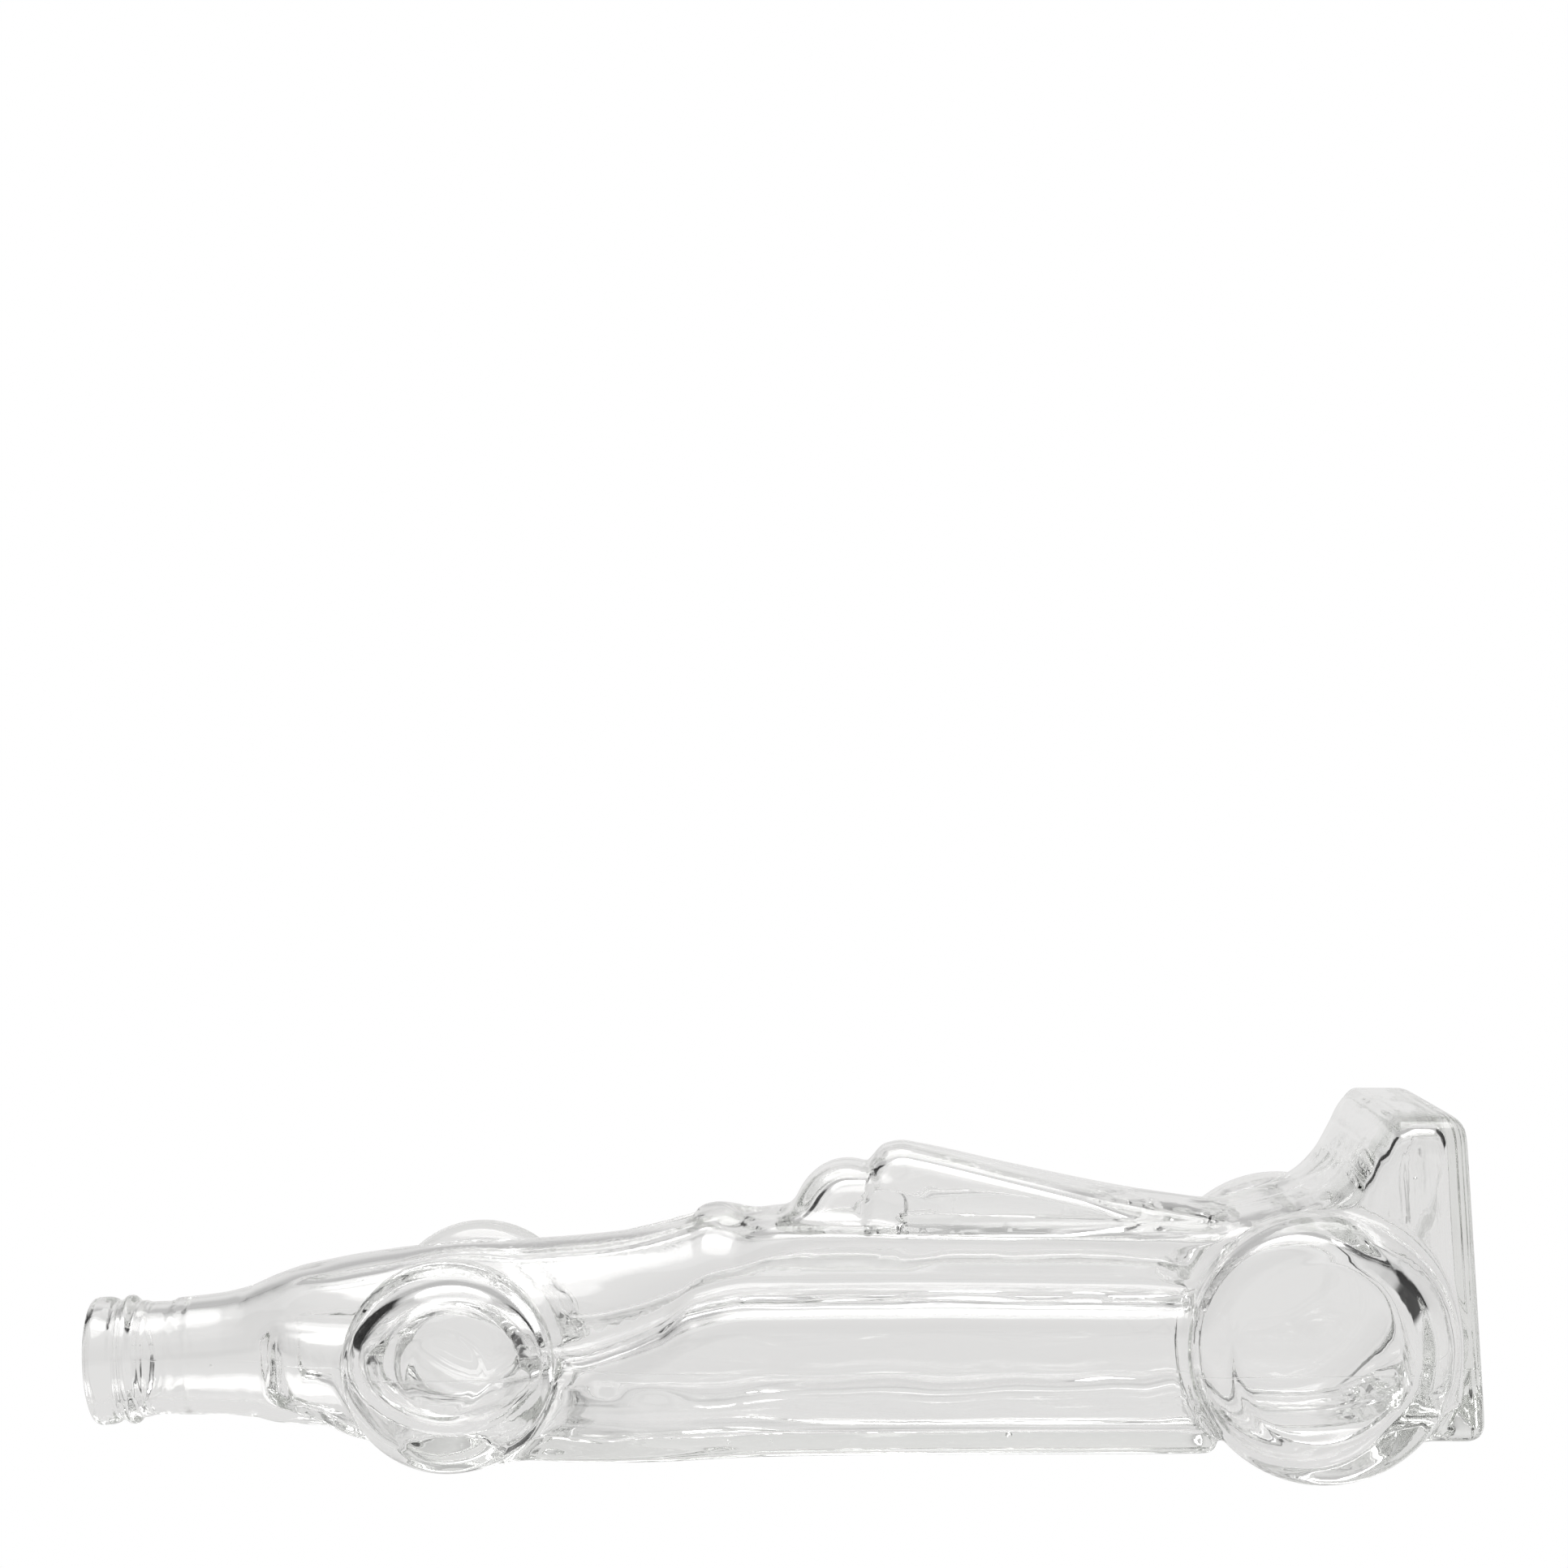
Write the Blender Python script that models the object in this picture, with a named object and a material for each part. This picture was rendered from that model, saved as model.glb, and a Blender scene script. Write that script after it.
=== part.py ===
"""A racing-car-shaped glass bottle: one hollow moulding with a corkable neck at the nose.

The bottle is drawn lying on its four wheels, nose at -X, standing base at +X.
The outer skin and the cavity are made by the same functions: the cavity is the
outer form drawn in by the wall, and it opens through the bore of the neck.
"""

import math

import bmesh
import bpy
from mathutils import Vector

# Overall sizes, in metres
BOTTLE_LENGTH = 0.293
AXIS_LEAN = math.radians(3.5)
WALL = 0.0034
BASE_WALL = 0.0060
OVERRUN = 0.0040

# Neck and its finish, measured along the bottle's axis from the mouth
MOUTH_HEIGHT = 0.0172
LIP_RADIUS = 0.0136
LIP_WIDTH = 0.0054
LIP_EDGE = 0.0009
GROOVE_RADIUS = 0.01285
GROOVE_WIDTH = 0.0018
BEAD_RADIUS = 0.0135
BEAD_WIDTH = 0.0026
COLLAR_RADIUS = 0.0125
COLLAR_WIDTH = 0.0026
NECK_RADIUS = 0.01205
NECK_LENGTH = 0.0287
BORE_RADIUS = 0.0092

# Body: the monocoque from the shoulder to the rear deck
FLOOR_HEIGHT = 0.0036
DECK_HEIGHT = 0.0508
BODY_HALF_WIDTH = 0.0200

# Tail block with the flat standing base
TAIL_HEIGHT = 0.0742
TAIL_FLOOR_HEIGHT = 0.0074
TAIL_HALF_WIDTH = 0.0380
TAIL_EDGE = 0.0022

# Wheels
WHEELBASE = 0.1784
FRONT_AXLE_FROM_MOUTH = 0.0803
FRONT_WHEEL_RADIUS = 0.0219
FRONT_WHEEL_INSIDE = 0.0236
FRONT_WHEEL_OUTSIDE = 0.0408
REAR_WHEEL_RADIUS = 0.0272
REAR_WHEEL_INSIDE = 0.0255
REAR_WHEEL_OUTSIDE = 0.0456
AXLE_RADIUS = 0.0120
AXLE_ROOT = 0.0120

# Lower body: it carries the front wheels and swells into the side pods behind them
POD_HALF_WIDTH = 0.0368
POD_HEIGHT = 0.0372
LOWER_BODY_LENGTH = 0.1970
LOWER_BODY_AHEAD_OF_AXLE = 0.0403

# Engine cover and the airbox at its front
COVER_HALF_WIDTH = 0.0200
COVER_HEIGHT = 0.0649
COVER_FOOT_HEIGHT = 0.0350
COVER_LENGTH = 0.0800
COVER_START_BEHIND_FRONT_AXLE = 0.0878

# Driver's helmet, a hump ahead of the airbox
HELMET_LENGTH = 0.0280
HELMET_WIDTH = 0.0240
HELMET_TOP_HEIGHT = 0.0612
HELMET_DEPTH = 0.0360
HELMET_BEHIND_FRONT_AXLE = 0.0820

# How finely the round forms are divided
SECTION_SIDES = 24
WHEEL_SIDES = 24
BALL_SEGMENTS = 16
BALL_RINGS = 10

# Monocoque outline: share of the body's length, half width share, floor share, top share, power.
# The floor share runs from the floor's height, and the top share from that of the deck.
MONOCOQUE_SHARES = (
    (0.000, 0.625, 1.90, 0.624, 2.0),
    (0.020, 0.700, 1.62, 0.650, 2.0),
    (0.043, 0.775, 1.25, 0.706, 2.1),
    (0.074, 0.860, 1.15, 0.760, 2.2),
    (0.120, 0.930, 1.08, 0.810, 2.4),
    (0.196, 0.975, 1.10, 0.858, 2.6),
    (0.272, 1.000, 1.05, 0.878, 2.9),
    (0.348, 1.000, 1.05, 0.918, 3.2),
    (0.390, 1.000, 1.08, 0.966, 3.2),
    (0.405, 1.000, 1.10, 1.008, 3.2),
    (0.420, 1.000, 1.12, 0.989, 3.2),
    (0.462, 1.000, 1.16, 0.990, 3.2),
    (0.620, 1.030, 1.30, 0.985, 3.4),
    (0.788, 1.150, 1.60, 1.004, 3.6),
)

# Flare from the deck up to the tail block: length share, then shares of the tail's sizes, power
FLARE_SHARES = (
    (0.856, 0.690, 0.86, 0.722, 4.0),
    (0.890, 0.815, 0.92, 0.772, 5.0),
    (0.911, 0.900, 0.97, 0.832, 7.0),
    (0.925, 0.960, 1.00, 0.898, 9.0),
    (0.937, 0.990, 1.00, 0.962, 11.0),
    (0.951, 1.000, 1.00, 1.000, 12.0),
)

# Lower body: share of its length, half width share, floor share, top share, taper share, power
LOWER_BODY_SHARES = (
    (0.000, 0.280, 2.20, 0.600, 0.00, 2.4),
    (0.022, 0.460, 1.75, 0.690, 0.00, 2.8),
    (0.055, 0.590, 1.45, 0.745, 0.00, 3.2),
    (0.105, 0.675, 1.15, 0.770, 0.00, 3.6),
    (0.198, 0.710, 1.00, 0.770, 0.05, 4.0),
    (0.258, 0.860, 0.75, 0.700, 0.22, 4.0),
    (0.300, 0.910, 0.65, 0.640, 0.20, 4.0),
    (0.340, 0.940, 0.62, 0.660, 0.14, 4.0),
    (0.385, 0.960, 0.66, 0.720, 0.08, 4.0),
    (0.430, 0.980, 0.75, 0.815, 0.04, 4.2),
    (0.467, 0.990, 0.88, 0.930, 0.02, 4.4),
    (0.530, 1.000, 1.08, 0.990, 0.00, 4.6),
    (0.756, 1.000, 1.28, 1.000, 0.00, 4.6),
    (0.934, 0.985, 1.36, 1.000, 0.00, 4.6),
    (1.000, 0.940, 1.40, 0.980, 0.00, 4.6),
)
FLOOR_EDGE_POWER = 9.0

# Engine cover: share of its length, half width share, top share, taper share, power
COVER_SHARES = (
    (0.000, 0.780, 0.860, 0.55, 3.0),
    (0.035, 0.800, 0.965, 0.60, 3.4),
    (0.085, 0.820, 0.998, 0.62, 3.6),
    (0.150, 0.840, 0.990, 0.60, 3.6),
    (0.400, 0.920, 0.920, 0.48, 3.6),
    (0.700, 0.980, 0.838, 0.30, 3.4),
    (1.000, 1.000, 0.778, 0.20, 3.2),
)

# Tread and shoulder of a wheel: share of its width, share of its radius
FRONT_TYRE_SHARES = (
    (0.00, 0.860),
    (0.10, 0.945),
    (0.26, 0.990),
    (0.42, 1.000),
    (0.70, 0.995),
    (0.84, 0.945),
    (0.94, 0.820),
    (1.00, 0.560),
)
REAR_TYRE_SHARES = (
    (0.00, 0.920),
    (0.07, 0.970),
    (0.18, 0.995),
    (0.32, 1.000),
    (0.78, 1.000),
    (0.90, 0.960),
    (0.97, 0.860),
    (1.00, 0.725),
)

GLASS_COLOUR = (0.90, 0.95, 0.93, 1.0)
GLASS_ROUGHNESS = 0.02
GLASS_INDEX = 1.5

# Places that follow from the sizes above
LEAN = math.tan(AXIS_LEAN)
TAIL_FACE_FOOT = TAIL_FLOOR_HEIGHT + TAIL_EDGE
TAIL_X = BOTTLE_LENGTH / 2 + (TAIL_FACE_FOOT - MOUTH_HEIGHT) * LEAN
MOUTH_X = -BOTTLE_LENGTH / 2 + (LIP_RADIUS - LIP_EDGE) * math.sin(AXIS_LEAN)
SHOULDER_X = MOUTH_X + NECK_LENGTH
BODY_LENGTH = TAIL_X - SHOULDER_X
FRONT_AXLE_X = MOUTH_X + FRONT_AXLE_FROM_MOUTH
REAR_AXLE_X = FRONT_AXLE_X + WHEELBASE


def clear_scene():
    """Empty the file before anything is built."""
    for old in list(bpy.data.objects):
        bpy.data.objects.remove(old, do_unlink=True)


def glass():
    """Clear flint glass."""
    material = bpy.data.materials.new("clear_glass")
    material.use_nodes = True
    shader = material.node_tree.nodes["Principled BSDF"]
    shader.inputs["Base Color"].default_value = GLASS_COLOUR
    shader.inputs["Roughness"].default_value = GLASS_ROUGHNESS
    shader.inputs["Metallic"].default_value = 0.0
    shader.inputs["IOR"].default_value = GLASS_INDEX
    shader.inputs["Transmission Weight"].default_value = 1.0
    return material


def skin(name, rings, material):
    """Join rings of points, which share one count, into a closed body with flat ends."""
    mesh = bpy.data.meshes.new(name)
    work = bmesh.new()
    loops = [[work.verts.new(point) for point in ring] for ring in rings]
    for first, second in zip(loops, loops[1:]):
        for index, corner in enumerate(first):
            after = (index + 1) % len(first)
            work.faces.new((corner, first[after], second[after], second[index]))
    work.faces.new(loops[0])
    work.faces.new(loops[-1])
    bmesh.ops.recalc_face_normals(work, faces=work.faces)
    work.to_mesh(mesh)
    work.free()
    mesh.shade_smooth()
    mesh.set_sharp_from_angle(angle=math.radians(40))
    mesh.materials.append(material)
    body = bpy.data.objects.new(name, mesh)
    bpy.context.collection.objects.link(body)
    return body


def section(x, half_width, bottom, top, power, taper=0.0, floor_power=None):
    """One rounded section square to the bottle's axis, narrowed towards its top by the taper.

    The power squares its corners: 2 is round. The lower half may have a power of its own.
    """
    middle = (bottom + top) / 2
    half_height = (top - bottom) / 2
    points = []
    for step in range(SECTION_SIDES):
        angle = math.tau * (step + 0.5) / SECTION_SIDES
        bend = 2 / (floor_power if floor_power and math.sin(angle) < 0 else power)
        across = math.copysign(abs(math.cos(angle)) ** bend, math.cos(angle))
        upward = math.copysign(abs(math.sin(angle)) ** bend, math.sin(angle))
        z = middle + half_height * upward
        y = half_width * across * (1 - taper * (upward + 1) / 2)
        points.append(Vector((x - (z - MOUTH_HEIGHT) * LEAN, y, z)))
    return points


def neck_ring(along, radius):
    """A round section of the neck, at a distance along the axis from the mouth."""
    height = MOUTH_HEIGHT + along * math.sin(AXIS_LEAN)
    x = MOUTH_X + along * math.cos(AXIS_LEAN) + (height - MOUTH_HEIGHT) * LEAN
    return section(x, radius, height - radius, height + radius, 2)


def finish_rings():
    """The lip, groove, bead and collar that hold a closure, and the plain neck."""
    groove = LIP_WIDTH + GROOVE_WIDTH / 2
    bead = LIP_WIDTH + GROOVE_WIDTH
    collar = bead + BEAD_WIDTH
    plain = collar + COLLAR_WIDTH
    profile = (
        (0, LIP_RADIUS - LIP_EDGE),
        (LIP_EDGE, LIP_RADIUS),
        (LIP_WIDTH - LIP_EDGE, LIP_RADIUS),
        (groove, GROOVE_RADIUS),
        (bead + LIP_EDGE / 2, BEAD_RADIUS),
        (collar - LIP_EDGE / 2, BEAD_RADIUS),
        (collar + LIP_EDGE / 2, COLLAR_RADIUS),
        (plain - LIP_EDGE, COLLAR_RADIUS),
        (plain, NECK_RADIUS),
        ((plain + NECK_LENGTH) / 2, NECK_RADIUS),
    )
    return [neck_ring(along, radius) for along, radius in profile]


def bore_rings():
    """The straight bore, from outside the mouth to the shoulder."""
    return [neck_ring(-OVERRUN, BORE_RADIUS), neck_ring(NECK_LENGTH * 0.8, BORE_RADIUS)]


def spine(name, inset, material):
    """Neck, nose, monocoque and tail block as one skin."""
    rings = finish_rings() if inset == 0 else bore_rings()
    for along, width, floor, top, power in MONOCOQUE_SHARES:
        rings.append(
            section(
                SHOULDER_X + along * BODY_LENGTH,
                width * BODY_HALF_WIDTH - inset,
                floor * FLOOR_HEIGHT + inset,
                top * DECK_HEIGHT - inset,
                power,
            )
        )
    for along, width, floor, top, power in FLARE_SHARES:
        rings.append(
            section(
                SHOULDER_X + along * BODY_LENGTH + inset,
                width * TAIL_HALF_WIDTH - inset,
                floor * TAIL_FLOOR_HEIGHT + inset,
                top * TAIL_HEIGHT - inset,
                power,
            )
        )
    power = FLARE_SHARES[-1][-1]
    end = TAIL_X if inset == 0 else TAIL_X - BASE_WALL
    for back, drawn_in in ((TAIL_EDGE, 0), (TAIL_EDGE * 0.3, TAIL_EDGE * 0.3), (0, TAIL_EDGE)):
        rings.append(
            section(
                end - back,
                TAIL_HALF_WIDTH - inset - drawn_in,
                TAIL_FLOOR_HEIGHT + inset + drawn_in,
                TAIL_HEIGHT - inset - drawn_in,
                power,
            )
        )
    return skin(name, rings, material)


def lower_body(name, inset, material):
    """The low wide body between the wheels, with the side pods, as one form."""
    start = FRONT_AXLE_X - LOWER_BODY_AHEAD_OF_AXLE + inset
    length = LOWER_BODY_LENGTH - 2 * inset
    rings = [
        section(
            start + along * length,
            width * POD_HALF_WIDTH - inset,
            floor * FLOOR_HEIGHT + inset,
            top * POD_HEIGHT - inset,
            power,
            taper,
            FLOOR_EDGE_POWER,
        )
        for along, width, floor, top, taper, power in LOWER_BODY_SHARES
    ]
    return skin(name, rings, material)


def engine_cover(name, inset, material):
    """The airbox's steep front and the cover that slopes down behind it."""
    start = FRONT_AXLE_X + COVER_START_BEHIND_FRONT_AXLE + inset
    length = COVER_LENGTH - inset
    rings = [
        section(
            start + along * length,
            width * COVER_HALF_WIDTH - inset,
            COVER_FOOT_HEIGHT,
            top * COVER_HEIGHT - inset,
            power,
            taper,
        )
        for along, width, top, taper, power in COVER_SHARES
    ]
    return skin(name, rings, material)


def ball(name, centre, size, inset, material):
    """An ellipsoid of the given length, width and height, drawn in by the inset."""
    mesh = bpy.data.meshes.new(name)
    work = bmesh.new()
    bmesh.ops.create_uvsphere(work, u_segments=BALL_SEGMENTS, v_segments=BALL_RINGS, radius=1)
    for corner in work.verts:
        reach = Vector((side / 2 - inset for side in size))
        corner.co = Vector(centre) + corner.co * reach
    work.to_mesh(mesh)
    work.free()
    mesh.shade_smooth()
    mesh.materials.append(material)
    body = bpy.data.objects.new(name, mesh)
    bpy.context.collection.objects.link(body)
    return body


def helmet(name, inset, material):
    """The rounded hump of the driver's helmet."""
    centre = (
        FRONT_AXLE_X + HELMET_BEHIND_FRONT_AXLE,
        0,
        HELMET_TOP_HEIGHT - HELMET_DEPTH / 2,
    )
    return ball(name, centre, (HELMET_LENGTH, HELMET_WIDTH, HELMET_DEPTH), inset, material)


def wheel(name, side, axle_x, radius, inside, outside, shares, inset, material):
    """A hollow wheel on a stub that opens into the body; side is -1 for the near one."""
    stub_radius = AXLE_RADIUS - inset
    inner = inside + inset
    width = outside - inset - inner
    profile = [(AXLE_ROOT, stub_radius), (inner, stub_radius)]
    profile += [(inner + along * width, share * (radius - inset)) for along, share in shares]
    rings = []
    for out, reach in profile:
        ring = []
        for step in range(WHEEL_SIDES):
            angle = math.tau * (step + 0.5) / WHEEL_SIDES
            x = axle_x + reach * math.cos(angle)
            z = radius + reach * math.sin(angle)
            ring.append(Vector((x, side * out, z)))
        rings.append(ring)
    return skin(name, rings, material)


def wheels(name, inset, material):
    """All four wheels."""
    front = (FRONT_AXLE_X, FRONT_WHEEL_RADIUS, FRONT_WHEEL_INSIDE, FRONT_WHEEL_OUTSIDE)
    rear = (REAR_AXLE_X, REAR_WHEEL_RADIUS, REAR_WHEEL_INSIDE, REAR_WHEEL_OUTSIDE)
    made = []
    for side, word in ((-1, "right"), (1, "left")):
        made.append(
            wheel(f"{name}_front_{word}", side, *front, FRONT_TYRE_SHARES, inset, material)
        )
        made.append(
            wheel(f"{name}_rear_{word}", side, *rear, REAR_TYRE_SHARES, inset, material)
        )
    return made


def combine(target, tool, operation):
    """Add a Boolean to the target and hide the tool from the finished part."""
    modifier = target.modifiers.new(tool.name, "BOOLEAN")
    modifier.operation = operation
    modifier.solver = "EXACT"
    modifier.object = tool
    tool.hide_render = True
    tool.display_type = "WIRE"


def form(name, inset, material):
    """The whole car: the outer skin at no inset, or the cavity at the wall's inset."""
    body = spine(name, inset, material)
    extras = [
        lower_body(f"{name}_lower_body", inset, material),
        engine_cover(f"{name}_cover", inset, material),
        helmet(f"{name}_helmet", inset, material),
    ]
    extras += wheels(f"{name}_wheel", inset, material)
    for extra in extras:
        combine(body, extra, "UNION")
    return body


def main():
    """Build the bottle."""
    clear_scene()
    material = glass()
    bottle = form("glass_bottle", 0, material)
    cavity = form("cavity", WALL, material)
    combine(bottle, cavity, "DIFFERENCE")


main()
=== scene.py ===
"""Looks for a clear glass bottle in the shape of an open-wheel racing car.

The bottle is one moulding, so its glass is worked out as one field: every form
of the car gives its distance, the forms are blended as molten glass rounds
them, and a second, softer set of the same forms is the cavity. The skin is
drawn where that field is zero, and its points are settled exactly on it.
"""

from __future__ import annotations

import logging
import math
from dataclasses import dataclass, field
from enum import Enum
from typing import Any

import bpy
import numpy as np
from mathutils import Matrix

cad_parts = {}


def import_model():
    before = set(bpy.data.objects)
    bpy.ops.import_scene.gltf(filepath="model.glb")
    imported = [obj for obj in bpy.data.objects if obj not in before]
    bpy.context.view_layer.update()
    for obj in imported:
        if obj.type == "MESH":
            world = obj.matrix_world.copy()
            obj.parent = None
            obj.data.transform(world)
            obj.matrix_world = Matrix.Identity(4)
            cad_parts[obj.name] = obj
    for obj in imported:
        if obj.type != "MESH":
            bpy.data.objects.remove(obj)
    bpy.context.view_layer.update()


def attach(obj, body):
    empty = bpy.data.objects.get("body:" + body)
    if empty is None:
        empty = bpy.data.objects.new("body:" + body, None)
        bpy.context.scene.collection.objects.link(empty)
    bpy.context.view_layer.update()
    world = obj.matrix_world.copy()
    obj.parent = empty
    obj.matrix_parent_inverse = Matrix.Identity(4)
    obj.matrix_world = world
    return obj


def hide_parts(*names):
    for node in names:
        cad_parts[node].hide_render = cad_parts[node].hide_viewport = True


LOG = logging.getLogger("bottle")
Array = np.ndarray
Pair = tuple[float, float]
Window = tuple[float, float, float, float]
Table = tuple[tuple[float, ...], ...]
OUTER_SKIN = "outer_skin"
WHITE = (1.0, 1.0, 1.0, 1.0)

# The power of a round section, two least divisors, and a step that carries a limit out of the way
ROUND = 2.0
SMALL = 1e-6
TINY = 1e-9
FAR_OUT = 0.0300

# The bottle's axis leans up from the mouth; every section stands square to it
LEAN = math.tan(math.radians(3.5))
MOUTH_HEIGHT = 0.0172
MOUTH_X = -0.145711
SHOULDER_X = MOUTH_X + 0.0287
TAIL_X = 0.146035
BODY_LENGTH = TAIL_X - SHOULDER_X
FRONT_AXLE_X = MOUTH_X + 0.0803
REAR_AXLE_X = FRONT_AXLE_X + 0.1784


class Skin(Enum):
    """Which skin of the glass a distance is asked for."""

    OUTSIDE = "outside"
    CAVITY = "cavity"


def smooth_union(first: Array, second: Array, blend: Array | float) -> Array:
    """Distances to two forms together, which flow into each other over the blend's width."""
    share = np.clip(0.5 + 0.5 * (second - first) / blend, 0.0, 1.0)
    return second + (first - second) * share - blend * share * (1.0 - share)


def smooth_cut(form: Array, tool: Array, blend: float) -> Array:
    """Distances to what a tool leaves of a form, with edges rounded over the blend's width."""
    return -smooth_union(-form, tool, blend)


def smooth_meet(first: Array, second: Array, blend: Array | float) -> Array:
    """Distances to what two forms share, with edges rounded over the blend's width."""
    return -smooth_union(-first, -second, blend)


def eased(values: Array, low: float, high: float) -> Array:
    """A smooth step from 0 at low to 1 at high."""
    share = np.clip((values - low) / (high - low), 0.0, 1.0)
    return share * share * (3.0 - 2.0 * share)


def window(values: Array, rise: float, risen: float, fall: float, fallen: float) -> Array:
    """1 within a stretch and 0 outside it, with a smooth step at either end."""
    return eased(values, rise, risen) * (1.0 - eased(values, fall, fallen))


def placed(shares: Table, start: float, sizes: tuple[float, ...]) -> Table:
    """Turn rows of shares into rows of sizes.

    Args:
        shares: Rows of a place along the form and the form's values there, all as shares.
        start: Where the form starts.
        sizes: The form's length, then what each further column is a share of.

    Returns:
        The rows as sizes.
    """
    return tuple(
        (start + along * sizes[0], *(share * size for share, size in zip(values, sizes[1:])))
        for along, *values in shares
    )


@dataclass(frozen=True)
class Fairing:
    """Smooth lines through a table of stations, without overshoot."""

    stations: Table

    def lines(self, count: int = 1200) -> tuple[Array, Array]:
        """Work the lines out finely.

        Args:
            count: How many steps the lines get.

        Returns:
            The places, and one row of values for each column of the table.
        """
        table = np.array(self.stations, float)
        x, values = table[:, 0], table[:, 1:]
        step = np.diff(x)[:, None]
        slope = np.diff(values, axis=0) / step
        same = slope[:-1] * slope[1:] > 0
        weight = step[1:] * 2 + step[:-1]
        other = step[1:] + step[:-1] * 2
        safe_a = np.where(same, slope[:-1], 1.0)
        safe_b = np.where(same, slope[1:], 1.0)
        middle = np.where(same, (weight + other) / (weight / safe_a + other / safe_b), 0.0)
        tangent = np.vstack([slope[:1], middle, slope[-1:]])
        places = np.linspace(x[0], x[-1], count)
        index = np.clip(np.searchsorted(x, places, side="right") - 1, 0, len(x) - 2)
        h = step[index]
        t = (places[:, None] - x[index][:, None]) / h
        rows = (
            (2 * t**3 - 3 * t**2 + 1) * values[index]
            + (t**3 - 2 * t**2 + t) * h * tangent[index]
            + (3 * t**2 - 2 * t**3) * values[index + 1]
            + (t**3 - t**2) * h * tangent[index + 1]
        )
        return places, rows.T

    def at(self, where: Array) -> list[Array]:
        """The value of each line at the given places."""
        places, rows = self.lines()
        return [np.interp(where, places, row) for row in rows]


@dataclass(frozen=True)
class Lathe:
    """A turned form: the signed distance to its profile, held on a fine table."""

    profile: tuple[Pair, ...]
    soften: int = 6
    pitch: float = 0.0002
    margin: float = 0.012
    table: tuple[Array, Array, Array] = field(init=False, repr=False, compare=False)

    def __post_init__(self) -> None:
        """Work out the table: places along the axis, places across it, and the distances."""
        corners = np.array(self.profile, float)
        low = corners.min(0) - self.margin
        high = corners.max(0) + self.margin
        along = np.arange(low[0], high[0], self.pitch)
        across = np.arange(0.0, high[1], self.pitch)
        u, r = np.meshgrid(along, across, indexing="ij")
        nearest = np.full(u.shape, 1.0)
        inside = np.zeros(u.shape, bool)
        for (au, ar), (bu, br) in zip(corners, np.roll(corners, -1, axis=0)):
            if ar + br > SMALL:
                du, dr = bu - au, br - ar
                share = np.clip(((u - au) * du + (r - ar) * dr) / (du * du + dr * dr + 1e-18), 0, 1)
                nearest = np.minimum(nearest, np.hypot(u - au - share * du, r - ar - share * dr))
            if abs(br - ar) > 1e-12:
                crosses = (ar > r) != (br > r)
                inside ^= crosses & (u < (bu - au) * (r - ar) / (br - ar) + au)
        signed = np.where(inside, -nearest, nearest)
        for _ in range(self.soften):
            signed[1:-1] = (signed[:-2] + 2 * signed[1:-1] + signed[2:]) / 4
            signed[:, 1:-1] = (signed[:, :-2] + 2 * signed[:, 1:-1] + signed[:, 2:]) / 4
            signed[:, 0] = signed[:, 1]
        object.__setattr__(self, "table", (along, across, signed))

    def distance(self, along: Array, across: Array) -> Array:
        """Distances to the turned form.

        Args:
            along: Places along its axis.
            across: Distances from its axis.

        Returns:
            Signed distances, below zero inside.
        """
        places, reaches, signed = self.table
        i = np.clip((along - places[0]) / self.pitch, 0, len(places) - 1.001)
        j = np.clip(across / self.pitch, 0, len(reaches) - 1.001)
        i0, j0 = i.astype(int), j.astype(int)
        fi, fj = i - i0, j - j0
        near = signed[i0, j0] * (1 - fi) + signed[i0 + 1, j0] * fi
        far = signed[i0, j0 + 1] * (1 - fi) + signed[i0 + 1, j0 + 1] * fi
        return near * (1 - fj) + far * fj


def section_distance(
    y: Array,
    z: Array,
    half_width: Array,
    bottom: Array,
    top: Array,
    power: Array,
    taper: Array | float = 0.0,
    floor_power: Array | float | None = None,
) -> Array:
    """Distances to a rounded section that stands square to the axis.

    Args:
        y: Places across.
        z: Heights.
        half_width: Half the section's width at its foot.
        bottom: Its lowest height.
        top: Its highest height.
        power: How square its corners are: 2 is round.
        taper: Share by which it narrows towards its top.
        floor_power: The power of its lower half, where that differs.

    Returns:
        Signed distances within the section's plane.
    """
    half_height = (top - bottom) / 2
    upward = (z - (top + bottom) / 2) / half_height
    width = half_width * (1 - taper * (np.clip(upward, -1, 1) + 1) / 2)
    bend = power if floor_power is None else np.where(upward < 0, floor_power, power)
    a = np.abs(y) / width
    b = np.abs(upward)
    most = np.maximum(a, b) + SMALL
    a1, b1 = a / most, b / most
    norm = (a1**bend + b1**bend) ** (1 / bend)
    steep = norm ** (1 - bend) * np.hypot(a1 ** (bend - 1) / width, b1 ** (bend - 1) / half_height)
    return (most * norm - 1) / steep


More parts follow.
